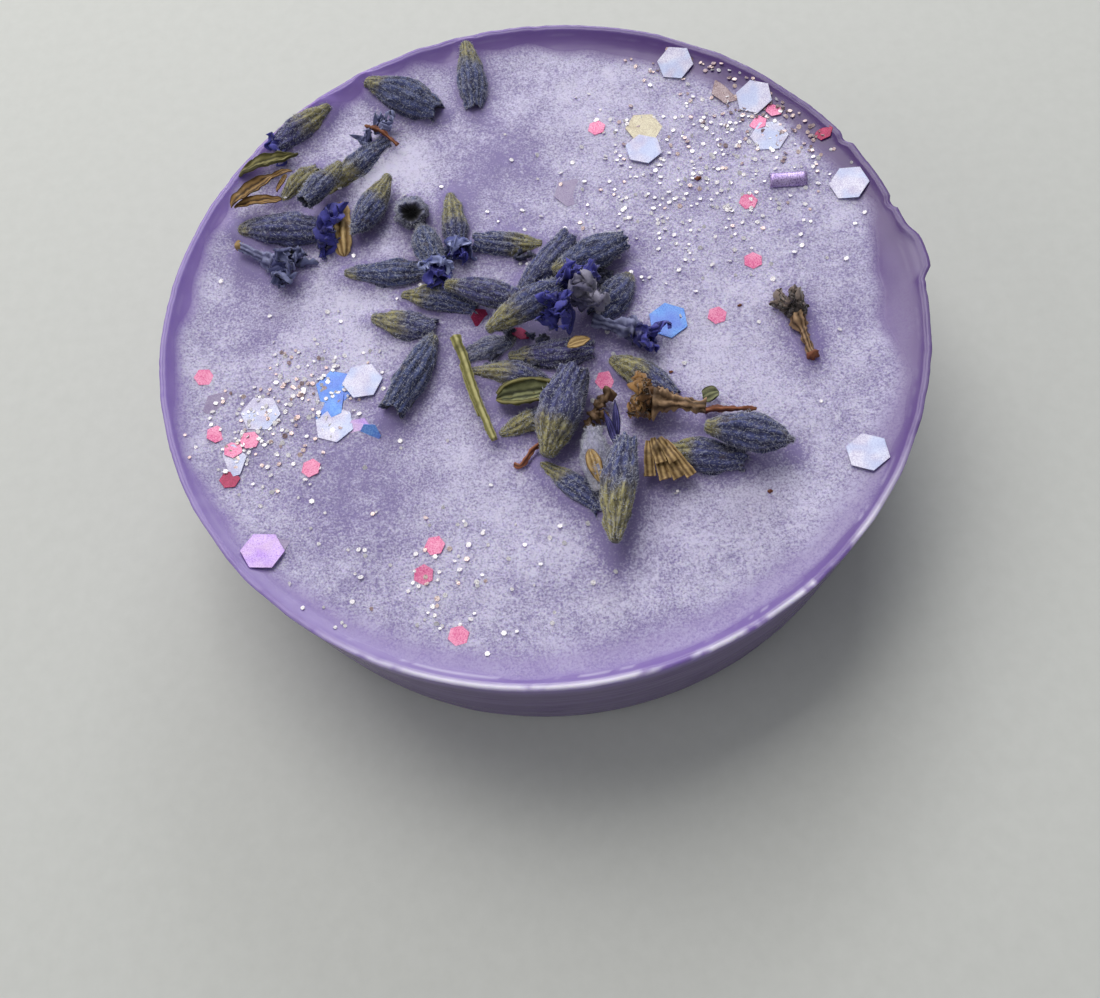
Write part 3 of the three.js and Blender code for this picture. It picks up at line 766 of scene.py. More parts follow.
def bud(node, green=0.2, tone=0.5, pale=0.2, bend=0.0, mouth="open", knob=0.0, sink=0.0, fuzz=1200):
    """Replaces a plain CAD bud with a ribbed, hairy calyx whose mouth is hollow or closed."""
    number = int(node[-2:])
    random = np.random.default_rng(number * 17)
    start, end, radius = ends_of(node)
    drop = np.array([0, 0, sink * MM])
    start, end, radius = start - drop, end - drop, radius * random.uniform(1.04, 1.16)
    length = np.linalg.norm(end - start)
    axis = unit(end - start)
    level, upright = across(axis)
    ribs_round = int(random.integers(10, 14))
    around, rings = ribs_round * 6, 48
    turn = np.linspace(0, 2 * math.pi, around, endpoint=False)
    bend_way = unit(level + 0.3 * random.normal() * upright)
    mesh = Mesh("green", "rib", "tone", "pale", "hollow", "under", "grain")
    along = np.linspace(0, 1, rings)
    mouth_width = 0.42 if mouth == "closed" else random.uniform(0.55, 0.74)
    outline = calyx_outline(along, random.uniform(0.5, 0.68), mouth_width)
    outline[0] *= 0.7
    if mouth == "closed":
        outline *= np.sqrt(1 - 0.93 * smoothstep(0.85, 1.0, along))
    twist = random.uniform(-0.35, 0.35)
    phase = random.uniform(0, 6)
    depths = np.repeat(random.uniform(0.3, 1.0, ribs_round), 6)
    points, ribs, shares, grains = [], [], [], []
    for share, width in zip(along, outline):
        rib = 0.5 + 0.5 * np.cos(ribs_round * turn + math.pi)
        ring_radius = radius * width * (0.93 + 0.09 * rib * depths)
        centre = start + axis * length * share + bend_way * bend * length * 4 * share * (1 - share)
        lean = turn + twist * share + phase
        ring = np.outer(np.cos(lean) * ring_radius, level)
        ring += np.outer(np.sin(lean) * ring_radius * 0.94, upright)
        if mouth != "closed":
            jagged = np.cos(5 * turn + phase) + 0.4 * np.cos(13 * turn)
            teeth = 0.09 * radius * smoothstep(0.88, 1, share) * jagged
            ring += np.outer(teeth, axis)
        points.append(centre + ring)
        ribs.append(rib)
        shares.append(np.full(around, share))
        across_grain = np.stack([np.cos(turn), np.sin(turn)], 1) * radius * width
        grains.append(np.column_stack([np.full(around, length * share + number * 9 * MM), across_grain]))
    points, ribs, shares, grains = (np.concatenate(rows) for rows in (points, ribs, shares, grains))
    centres = start + np.outer(shares * length, axis)
    normals = points - centres
    normals /= np.linalg.norm(normals, axis=1, keepdims=True) + 1e-12
    drawn_out = grains * (0.35, 1, 1)
    lumps = rumple(drawn_out, 0.8 * MM, number) + 0.5 * rumple(drawn_out, 0.4 * MM, 40 + number)
    points = points + normals * (lumps * 0.04 * radius * smoothstep(0, 0.1, shares))[:, None]
    depth = 0.2 if mouth == "closed" else 0.9
    inside = []
    last, middle = points[-around:], points[-around:].mean(0)
    for shrink, sunk in ((0.82, 0.02), (0.66, 0.3), (0.45, 0.7), (0.2, 0.95)):
        inside.append(middle + (last - middle) * shrink - axis * sunk * depth * radius)
    inner = np.concatenate(inside)
    vertices = np.concatenate([points, inner])
    faces = tube_faces(rings + len(inside), around)
    faces.append(tuple(reversed(range(around))))
    faces.append(tuple(len(vertices) - around + j for j in range(around)))
    # Painted shade: the hollow of the mouth darkens deeper in; the ring at the stalk end is darkened a
    # little too.
    hollow = np.zeros(len(vertices))
    hollow[len(points) :] = np.repeat([0.25, 0.9, 1.0, 1.0], around)
    hollow[:around] = 0.35
    # Painted shade: the calyx is darkened where its surface faces down.
    under = np.zeros(len(vertices))
    under[: len(points)] = 0.85 * smoothstep(0.35, -0.55, normals[:, 2])
    every_share = np.concatenate([shares, np.ones(len(inner))])
    mesh.add(
        vertices,
        faces,
        green=1 - smoothstep(green - 0.3, green + 0.35, every_share),
        rib=np.concatenate([ribs, np.zeros(len(inner))]),
        tone=tone,
        pale=pale,
        hollow=hollow,
        under=under,
        grain=np.concatenate([grains, np.tile(grains[-around:], (len(inside), 1))]),
    )
    body_faces = len(mesh.faces)
    hairs_on(mesh, points, normals, axis, random, fuzz)
    piece = mesh.piece(f"calyx_{node[-2:]}", CALYX, "lavender_calyx", (node,))
    piece.data.materials.append(HAIR)
    indices = np.zeros(len(mesh.faces), np.int32)
    indices[body_faces:] = 1
    piece.data.polygons.foreach_set("material_index", indices)
    if knob:
        vertices, faces = rough_lump(end - axis * 0.25 * knob, knob, axis, 3, 0.25)
        lump = Mesh("rib")
        lump.add(vertices, faces, rib=0.2)
        lump.piece(f"dried_tip_{node[-2:]}", RUST, "brown_husk")
    return start, end, radius


def rough_lump(centre, radius, axis, seed, rough=0.2, stretch=1.0):
    """A small rumpled lump, for crumbs, knobs and the ends of stalks."""
    level, upright = across(unit(np.asarray(axis, float)))
    axis = unit(np.asarray(axis, float))
    rings, around = 11, 16
    polar = np.linspace(0.12, math.pi - 0.12, rings)
    centres = [centre - axis * radius * stretch * math.cos(angle) for angle in polar]
    radii = [np.full(around, radius * math.sin(angle)) for angle in polar]
    vertices, faces = closed_tube(centres, [level] * rings, [upright] * rings, radii, around)
    vertices = np.array(vertices)
    outward = vertices - centre
    lumps = rumple(vertices, radius * 1.4, seed) + 0.5 * rumple(vertices, radius * 0.6, seed + 1)
    return vertices + outward * (rough * lumps)[:, None], faces


# ---------------------------------------------------------------- leaves, husks and stalks
SHARP_ANGLE = math.radians(55)  # a blade's faces that meet more sharply keep a hard edge


def blade(
    start, end, width, thickness, arch, curl, seed,
    rows=26, columns=13, tip=1.0, twist=0.0, square=False, ribs=3,
):
    """A pointed or square-ended blade. arch lifts its middle line, curl turns its edges up."""
    axis = unit(end - start)
    length = np.linalg.norm(end - start)
    level, upright = across(axis)
    grid = np.zeros((rows, columns, 3))
    for i, share in enumerate(np.linspace(0, 1, rows)):
        spread = width / 2 * max(0.06, math.sin(math.pi * share**0.8) ** tip)
        if square:
            spread = width / 2 * (0.4 + 0.6 * share**0.6)
        turn = twist * (share - 0.5)
        side = level * math.cos(turn) + upright * math.sin(turn)
        rise = upright * math.cos(turn) - level * math.sin(turn)
        for j, out in enumerate(np.linspace(-1, 1, columns)):
            height = arch * 4 * share * (1 - share) + curl * spread * out * out
            grid[i, j] = start + axis * length * share + side * spread * out + rise * height
    flat = grid.reshape(-1, 3)
    wrinkle = 0.06 * MM * rumple(flat, 1.2 * MM, seed) + 0.03 * MM * rumple(flat, 0.5 * MM, seed + 1)
    grid = grid + (wrinkle.reshape(rows, columns))[..., None] * upright
    vertices, faces = thick_sheet(grid, thickness)
    ribbed = 0.5 + 0.5 * np.cos(np.linspace(-1, 1, columns) * ribs * math.pi)
    return vertices, faces, np.tile(np.tile(ribbed, rows), 2)


def blade_piece(name, material, slot, blades, replaces=()):
    mesh = Mesh("rib")
    for given in blades:
        vertices, faces, rib = blade(**given)
        mesh.add(vertices, faces, rib=rib)
    piece = mesh.piece(name, material, slot, replaces)
    piece.data.set_sharp_from_angle(angle=SHARP_ANGLE)
    return piece


def smooth_route(points, count):
    """A Catmull-Rom curve through a few points, as many closer points."""
    points = np.asarray(points, float)
    padded = np.vstack([2 * points[0] - points[1], points, 2 * points[-1] - points[-2]])
    found = []
    for t in np.linspace(0, len(points) - 1, count):
        i = min(int(t), len(points) - 2)
        u = t - i
        a, b, c, d = padded[i : i + 4]
        square, cube = 2 * a - 5 * b + 4 * c - d, 3 * b - a - 3 * c + d
        found.append(0.5 * (2 * b + (c - a) * u + square * u**2 + cube * u**3))
    return np.array(found)


def stalk(points, radius, seed, sides=4, count=40, taper=0.0, around=24, rough=0.05):
    """A ridged stalk along a route, thinner towards its end by the taper."""
    line = smooth_route(points, count)
    tangents = np.gradient(line, axis=0)
    turn = np.linspace(0, 2 * math.pi, around, endpoint=False)
    levels, uprights, radii = [], [], []
    for i, tangent in enumerate(tangents):
        level, upright = across(unit(tangent))
        levels.append(level)
        uprights.append(upright)
        ridge = 1 + 0.12 * np.cos(sides * turn + 0.03 * i)
        radii.append(radius * ridge * (1 - taper * i / (count - 1)))
    vertices, faces = closed_tube(line, levels, uprights, radii, around)
    vertices = np.array(vertices)
    outward = vertices - np.repeat(line, around, axis=0)
    lumps = rumple(vertices, 0.9 * MM, seed) + 0.5 * rumple(vertices, 0.3 * MM, seed + 1)
    vertices = vertices + outward * (rough * 2 * lumps)[:, None]
    rib = np.tile(0.5 + 0.5 * np.cos(sides * turn), count)
    return vertices, faces, rib


def stalk_piece(name, material, slot, stalks, replaces=()):
    mesh = Mesh("rib")
    for given in stalks:
        vertices, faces, rib = stalk(**given)
        mesh.add(vertices, faces, rib=rib)
    return mesh.piece(name, material, slot, replaces)


def lump_piece(name, material, slot, lumps):
    mesh = Mesh("rib")
    for given in lumps:
        vertices, faces = rough_lump(**given)
        mesh.add(vertices, faces, rib=0.4)
    return mesh.piece(name, material, slot)


def on_wax(x, y, lift=0.0):
    """A point on the finished wax at a place given in millimetres."""
    x, y = x * MM, y * MM
    return np.array([x, y, wax_top(np.array([x]), np.array([y]))[0] + lift * MM])


def wax_lean(x, y):
    """The upward normal of the wax at a place given in millimetres."""
    step = 0.25
    east = on_wax(x + step, y) - on_wax(x - step, y)
    north = on_wax(x, y + step) - on_wax(x, y - step)
    return unit(np.cross(east, north))


# ---------------------------------------------------------------- foil
FLAKE_THICKNESS, GLITTER_THICKNESS = 0.06 * MM, 0.04 * MM
GLITTER_RADIUS = 0.2 * MM
GLITTER_EDGE = 29.3  # millimetres from the axis, past which no glitter lies
# Foils whose pieces are handed another foil's slot name, which nothing reads.
SHARED_SLOTS = {"red_foil": "pink_foil", "brown_foil": "silver_foil", "veiled_foil": "white_foil"}


def flake(centre, corner, normal, radius, thickness):
    """A flat hexagonal flake of film with slightly broken edges."""
    sides = 6
    side = np.cross(normal, corner)
    bevel = min(0.3 * thickness, 0.04 * radius)
    vertices = []
    for inset, height in ((bevel, -0.5), (0, -0.3), (0, 0.3), (bevel, 0.5)):
        for index in range(sides):
            angle = 2 * math.pi * index / sides
            out = math.cos(angle) * corner + math.sin(angle) * side
            vertices.append(centre + out * (radius - inset) + normal * height * thickness)
    faces = tube_faces(4, sides)
    faces.append(tuple(reversed(range(sides))))
    faces.append(tuple(3 * sides + j for j in range(sides)))
    return vertices, faces


def flake_piece(name, foil, centre, corner, normal, radius, replaces=()):
    mesh = Mesh()
    mesh.add(*flake(centre, corner, normal, radius, FLAKE_THICKNESS))
    return mesh.piece(name, FOILS[foil], SHARED_SLOTS.get(foil, foil), replaces, smooth=False)


def laid_flake(name, foil, x, y, radius, spin, lift, tip, tip_way):
    """A flake on the wax at a place in millimetres; tip raises one side of it, in degrees."""
    normal = wax_lean(x, y)
    way = np.array([math.cos(math.radians(tip_way)), math.sin(math.radians(tip_way)), 0.0])
    normal = unit(normal - math.tan(math.radians(tip)) * way)
    east = unit(np.cross([0.0, 1.0, 0.0], normal))
    north = np.cross(normal, east)
    corner = math.cos(math.radians(spin)) * east + math.sin(math.radians(spin)) * north
    return flake_piece(name, foil, on_wax(x, y, lift), corner, normal, radius * MM)


def scatter(name, foil, areas, seed):
    """Fine glitter: small flakes thrown over areas of (x, y, spread x, spread y, count) in millimetres."""
    random = np.random.default_rng(seed)
    places = []
    for x, y, spread_x, spread_y, count in areas:
        spots = random.normal((x, y), (spread_x, spread_y), (count, 2))
        places.append(spots[np.hypot(*spots.T) < GLITTER_EDGE])
    places = np.concatenate(places) * MM
    heights = wax_top(places[:, 0], places[:, 1])
    mesh = Mesh()
    for (x, y), height in zip(places, heights):
        normal = unit(np.array([0, 0, 1]) + random.normal(size=3) * (0.28, 0.28, 0))
        corner = unit(np.cross(normal, random.normal(size=3)))
        radius = GLITTER_RADIUS * random.uniform(0.6, 1.15)
        centre = np.array([x, y, height + 0.05 * MM + 0.3 * radius * random.random()])
        mesh.add(*flake(centre, corner, normal, radius, GLITTER_THICKNESS))
    return mesh.piece(name, FOILS[foil], "silver_foil", smooth=False)


# ---------------------------------------------------------------- the object
wax_body()

# Looks of each bud: how far the green runs, blue to violet tone, waxy paleness, bend, sinking in
# millimetres, its mouth, the radius of a dried tip, and how many hairs it has.
BUDS = {
    1: dict(green=0.45, tone=0.2, pale=0.5, bend=0.02, sink=0.3),
    2: dict(green=0.5, tone=0.7, pale=0.1, bend=-0.03),
    3: dict(green=0.95, tone=0.4, pale=0.35, bend=0.02, sink=0.15),
    4: dict(green=0.42, tone=0.3, pale=0.45, bend=0.03),
    5: dict(green=0.4, tone=0.3, pale=0.45, bend=0.03, mouth="closed"),
    6: dict(green=0.08, tone=0.5, pale=0.35, bend=0.0),
    7: dict(green=0.18, tone=0.2, pale=0.1, bend=0.03),
    8: dict(green=0.35, tone=0.2, pale=0.5, bend=0.02, sink=0.35),
    9: dict(green=0.1, tone=0.1, pale=0.75, bend=0.0),
    10: dict(green=0.42, tone=0.3, pale=0.35, bend=0.03),
    11: dict(green=0.12, tone=0.2, pale=0.4, bend=-0.03),
    12: dict(green=0.35, tone=0.3, pale=0.25, bend=0.04),
    13: dict(green=0.5, tone=0.5, pale=0.55, bend=-0.03),
    14: dict(green=0.15, tone=0.6, pale=0.3, bend=0.02),
    15: dict(green=0.1, tone=0.2, pale=0.7, bend=0.0, sink=0.2),
    16: dict(green=0.1, tone=0.3, pale=0.35, bend=0.03),
    17: dict(green=0.25, tone=0.8, pale=0.5, bend=-0.03, sink=0.2),
    18: dict(green=0.5, tone=0.5, pale=0.6, bend=0.03, mouth="closed"),
    19: dict(green=0.1, tone=0.1, pale=0.5, bend=0.0),
    20: dict(green=0.65, tone=0.4, pale=0.25, bend=0.0),
    21: dict(green=0.08, tone=0.4, pale=0.15, bend=-0.03, knob=0.0003),
    22: dict(green=0.04, tone=0.1, pale=0.3, bend=0.02),
    23: dict(green=0.4, tone=0.3, pale=0.2, bend=0.02),
    24: dict(green=0.15, tone=0.2, pale=0.3, bend=-0.02),
    25: dict(green=0.75, tone=0.2, pale=0.2, bend=0.0),
    26: dict(green=0.35, tone=0.3, pale=0.55, bend=0.04, sink=0.15),
    27: dict(green=0.5, tone=0.4, pale=0.35, bend=0.02),
    28: dict(green=0.2, tone=0.2, pale=1.6, bend=0.0, fuzz=2600),
    29: dict(green=0.35, tone=0.5, pale=0.2, bend=0.02),
    30: dict(green=0.35, tone=0.4, pale=0.25, bend=-0.03),
    31: dict(green=0.1, tone=0.3, pale=0.1, bend=0.02, mouth="closed"),
    32: dict(green=0.5, tone=0.3, pale=0.5, bend=0.03),
}
ENDS = {}
for number, look in BUDS.items():
    ENDS[number] = bud(f"lavender_bud_{number:02d}", **look)


def bloom_of(number, outer, length, seed, back, crumple=0.25):
    """A crumpled corolla that stands out of a bud's mouth; sizes in millimetres."""
    start, end, radius = ENDS[number]
    axis = unit(end - start)
    return dict(
        centre=end - axis * back * MM,
        axis=axis,
        inner=0.35 * radius,
        outer=outer * MM,
        length=length * MM,
        seed=seed,
        crumple=crumple * MM,
    )


# Corollas in the mouths of buds: petal, bud, radius, length, seed, how far back, and crumple.
BLOOMS = {
    "corolla_by_rim": (DEEP_PETAL, 6, 2.3, 1.5, 21, 0.7, 0.36),
    "corolla_pale": (PALE_PETAL, 19, 1.35, 1.5, 31, 0.4),
    "corolla_pale_heart": (DEEP_PETAL, 19, 0.8, 1.5, 33, -0.3, 0.2),
    "corolla_blue": (PALE_PETAL, 20, 1.3, 1.4, 37, 0.4),
    "corolla_blue_heart": (DEEP_PETAL, 20, 0.7, 1.3, 39, 0.0, 0.2),
    # This corolla by bud 2 also fills a patch of shade beside it: its deep blue is partly painted shade.
    "corolla_under_bud": (DEEP_PETAL, 2, 1.1, 0.9, 41, 0.8),
}
for name, (petal, *bloom) in BLOOMS.items():
    petal_piece(name, petal, [bloom_of(*bloom)])


def loose_petals():
    """Two small petals on their own: one by the rim, one by the stalk behind it."""
    blooms = []
    # Each petal: its middle, the way it faces, its radius and its seed.
    petals = (
        ((-10.9, 21.2, 14.2), (0.2, 0.3, 0.9), 0.8, 43),
        ((-12.1, 19.7, 14.1), (-0.5, 0.4, 0.6), 0.6, 45),
    )
    for middle, aim, outer, seed in petals:
        sizes = dict(inner=0.2 * MM, outer=outer * MM, length=0.9 * MM, crumple=0.3 * MM)
        blooms.append(dict(centre=np.array(middle) * MM, axis=unit(np.array(aim)), seed=seed, **sizes))
    petal_piece("loose_petals", DUSKY_PETAL, blooms)


loose_petals()


def trumpet(
    node, tube_look, slot, petal, outer, seed, crumple,
    bead=None, stout=0.32, length_share=0.34, fold=1.3,
):
    """A dried flower: a thin ribbed tube that ends in a crumpled mouth, with a bead at its foot."""
    start, end, radius = ends_of(node)
    axis = unit(end - start)
    length = np.linalg.norm(end - start)
    route = [start, start + axis * 0.35 * length, start + axis * 0.72 * length]
    mesh = Mesh("rib")
    vertices, faces, rib = stalk(route, stout * radius, seed, sides=6, count=26, around=24, rough=0.12)
    swell = 0.8 + 0.9 * smoothstep(0.4, 1.0, np.repeat(np.linspace(0, 1, 26), 24))
    line = np.repeat(smooth_route(route, 26), 24, axis=0)
    mesh.add(line + (vertices - line) * swell[:, None], faces, rib=rib)
    mesh.piece(f"{node}_tube", tube_look, slot, (node,))
    bloom = dict(
        centre=start + axis * 0.66 * length,
        axis=axis,
        inner=0.4 * radius,
        outer=outer * radius,
        length=length_share * length,
        seed=seed,
        crumple=crumple * MM,
        fold_size=fold * MM,
    )
    petal_piece(f"{node}_mouth", petal, [bloom], slot)
    if bead:
        lump_piece(
            f"{node}_foot",
            bead,
            "brown_husk",
            [dict(centre=start, radius=0.41 * MM, axis=axis, seed=seed + 2)],
        )


trumpet("trumpet_floret", GREY_STALK, "lavender_calyx", DUSKY_PETAL, 1.1, 51, 0.4, GOLDEN)
trumpet(
    "brown_flower", BROWN, "brown_husk", BROWN_PETAL, 0.85, 61, 0.34,
    stout=0.36, length_share=0.26, fold=0.75,
)
trumpet("brown_floret", BROWN, "brown_husk", DARK_PETAL, 0.85, 71, 0.3, RUST, fold=0.7)
trumpet("floret_tube", GREY_STALK, "lavender_corolla", DEEP_PETAL, 1.2, 81, 0.3, stout=0.6)


def middle_corolla():
    """The heap of crumpled petals in the middle: a pale veil among deep blue ones."""
    up = np.array([0.0, 0.0, 1.0])

    def bloom(x, y, z, aim, outer, length, seed):
        centre = np.array([x, y, z]) * MM
        given = dict(inner=0.25 * MM, outer=outer * MM, length=length * MM, seed=seed, crumple=0.38 * MM)
        return dict(centre=centre, axis=unit(np.array(aim) + 0.4 * up), **given)

    veil = [bloom(2.8, -0.9, 16.6, (0.9, 0.4, 0), 1.4, 1.6, 91)]
    deep = [
        bloom(3.8, 0.7, 16.3, (0.2, 0.9, 0), 1.2, 1.2, 93),
        bloom(2.3, -0.9, 16.4, (-0.6, -0.5, 0), 1.3, 1.4, 95),
        bloom(2.2, 0.2, 16.2, (-0.4, 0.5, 0), 0.9, 1.1, 97),
    ]
    petal_piece("corolla_veil", GREY_PETAL, veil, replaces=("crumpled_corolla",))
    petal_piece("corolla_middle", DEEP_PETAL, deep)


middle_corolla()


def husks():
    start, end = ends_of("papery_bract_01")[:2]
    blades = []
    outer = min(start, end, key=lambda place: place[0])
    # Each shard: its foot and its tip as offsets from the bract's outer end, its width and twist.
    shards = [
        ((-0.2, -0.2, 0.0), (3.6, 2.1, 0.5), 1.3, 0.8),
        ((0.1, -0.3, 0.1), (4.2, -0.3, 0.1), 1.0, 0.1),
        ((3.2, 1.9, 0.4), (5.2, 2.3, 0.3), 0.5, -0.5),
        ((3.9, 0.2, 0.4), (4.8, 1.7, 0.7), 0.45, 0.4),
    ]
    for index, (foot, tip, width, twist) in enumerate(shards):
        given = dict(width=width * MM, thickness=0.07 * MM, arch=0.2 * MM, curl=0.5, tip=0.5, twist=twist)
        low, high = outer + np.array(foot) * MM, outer + np.array(tip) * MM
        blades.append(dict(start=low, end=high, seed=101 + index, **given))
    blade_piece("papery_bract", AMBER_BRACT, "brown_husk", blades, ("papery_bract_01",))
    start, end = ends_of("papery_bract_02")[:2]
    lift = np.array([0, 0, 0.3]) * MM
    leaf = dict(width=1.3 * MM, thickness=0.2 * MM, arch=0.3 * MM, curl=0.7, seed=105, twist=0.9)
    leaf.update(start=start, end=end + lift)
    blade_piece("shrivelled_leaf", OLIVE, "green_stem", [leaf], ("papery_bract_02",))
    start, end, radius = ends_of("seed_husk")
    mesh = Mesh("rib")
    route = [start, (start + end) / 2, end]
    vertices, faces, rib = stalk(route, radius, 107, sides=7, count=30, around=42, rough=0.03)
    line = np.repeat(smooth_route(route, 30), 42, axis=0)
    shares = np.repeat(np.linspace(0, 1, 30), 42)
    swell = np.sqrt(np.clip(1 - (2 * shares - 1) ** 4, 0.03, 1))
    mesh.add(line + (vertices - line) * swell[:, None], faces, rib=rib)
    mesh.piece("amber_husk", GOLDEN, "brown_husk", ("seed_husk",))


def sheaf():
    """A golden bract, split into stiff blades that fan out from its foot in two layers."""
    start, end = ends_of("bract_sheaf")[:2]
    foot = (start + end) / 2 + np.array([-0.5, 1.6, 0.6]) * MM
    blades = []
    # Two layers of slabs side by side: [how far along the row, heading, length, height].
    slabs = [(0.0, -96, 2.6, 0.0), (0.5, -82, 3.0, 0.05), (1.05, -70, 3.1, 0.0), (1.7, -62, 3.2, 0.05)]
    slabs += [(0.45, -80, 1.9, 0.4), (1.15, -66, 2.0, 0.42)]
    for across_row, heading, length, height in slabs:
        way = np.array([math.cos(math.radians(heading)), math.sin(math.radians(heading)), -0.2])
        near = foot + np.array([across_row * 0.7, -0.1 * across_row, height]) * MM
        far = near + way * length * MM
        given = dict(width=0.85 * MM, thickness=0.17 * MM, arch=0.05 * MM, curl=-0.06, square=True, ribs=2)
        blades.append(dict(start=near, end=far, seed=111 + len(blades), rows=20, columns=9, **given))
    blade_piece("bract_fan", SHEAF, "brown_husk", blades, ("bract_sheaf",))


def folded_leaf():
    """A small leaf whose edges have rolled up into thick pale rims."""
    start, end = ends_of("folded_leaf")[:2]
    lift = np.array([0, 0, 0.15]) * MM
    leaf = dict(width=1.9 * MM, thickness=0.22 * MM, arch=0.1 * MM, curl=0.75, seed=121, columns=17, tip=0.6)
    leaf.update(start=start + lift, end=end + lift)
    rims = []
    rolled = dict(sides=3, around=12, rough=0.08)
    axis = unit(end - start)
    level, upright = across(axis)
    for side in (-1, 1):
        route = []
        for share in np.linspace(0.02, 0.98, 9):
            spread = 0.95 * MM * math.sin(math.pi * share**0.8) ** 0.6
            along = start + lift + axis * share * np.linalg.norm(end - start)
            route.append(along + level * side * spread + upright * (0.75 * spread + 0.1 * MM))
        rims.append(dict(points=route, radius=0.17 * MM, seed=123 + side, count=34, **rolled))
    midrib = [start + lift, (start + end) / 2 + lift * 1.4, end + lift]
    rims.append(dict(points=midrib, radius=0.14 * MM, seed=127, count=24, **rolled))
    blade_piece("rolled_leaf", LEAF, "green_stem", [leaf], ("folded_leaf",))
    stalk_piece("rolled_leaf_rims", OLIVE, "green_stem", rims)


def stems():
    line = centre_line("flower_stem", 17)
    if line[0][1] < line[-1][1]:
        line = line[::-1]
    knees = line[::4]
    strand = knees + np.array([-0.35, -0.1, -0.1]) * MM
    main = dict(points=knees, radius=0.36 * MM, seed=131, sides=4, count=60, taper=0.25, rough=0.04)
    pale = dict(points=strand[1:4], radius=0.16 * MM, seed=133, sides=2, count=30, taper=0.5)
    stalk_piece("flower_stalk", GREEN, "green_stem", [main, pale], ("flower_stem",))
    for node, radius in (("stalk_01", 0.22), ("stalk_02", 0.24)):
        points = centre_line(node, 9)[::2]
        given = dict(points=points, radius=radius * MM, seed=135, sides=3, count=30, taper=0.3, rough=0.12)
        stalk_piece(f"thin_{node}", RUST, "brown_husk", [given], (node,))
    places = ((-1.1, -11.2, 0.5), (-2, -12, 0.6), (-2.8, -12.7, 0.3), (-3.3, -12.5, 0.25))
    points = [on_wax(*place) for place in places]
    given = dict(points=points, radius=0.2 * MM, seed=139, sides=3, count=24, rough=0.1)
    stalk_piece("thin_stalk_03", RUST, "brown_husk", [given])


def debris():
    """Dark crumbs of calyx that fill the gaps low down between buds lying close together; their darkness is
    partly painted shade in those gaps.
    """
    random = np.random.default_rng(300)
    middles = [(start + end) / 2 for start, end, _ in ENDS.values()]
    mesh = Mesh("green", "rib", "tone", "pale", "hollow", "under", "grain")
    for first in range(len(middles)):
        for second in range(first + 1, len(middles)):
            apart = np.linalg.norm(middles[first] - middles[second])
            if not 2.2 * MM < apart < 4.2 * MM or np.hypot(*middles[first][:2]) > 9 * MM:
                continue
            for share in (0.35, 0.5, 0.65):
                spot = middles[first] + share * (middles[second] - middles[first])
                spot = spot + random.normal(size=3) * 0.35 * MM
                spot[2] = on_wax(spot[0] / MM, spot[1] / MM, random.uniform(-0.05, 0.35))[2]
                size = random.uniform(0.2, 0.36) * MM
                way = random.normal(size=3) * (1, 1, 0.3)
                vertices, faces = rough_lump(spot, size, way, int(random.integers(1000)), 0.4, 1.7)
                shade = random.uniform(0.1, 0.5)
                # Painted shade: every crumb is darkened all over through hollow and under.
                dull = dict(rib=0.3, tone=0.3, hollow=0.25, under=0.35)
                mesh.add(vertices, faces, pale=shade, grain=vertices, **dull)
    mesh.piece("lavender_debris_and_shade", CALYX, "lavender_calyx")


debris()
husks()
sheaf()
folded_leaf()
stems()


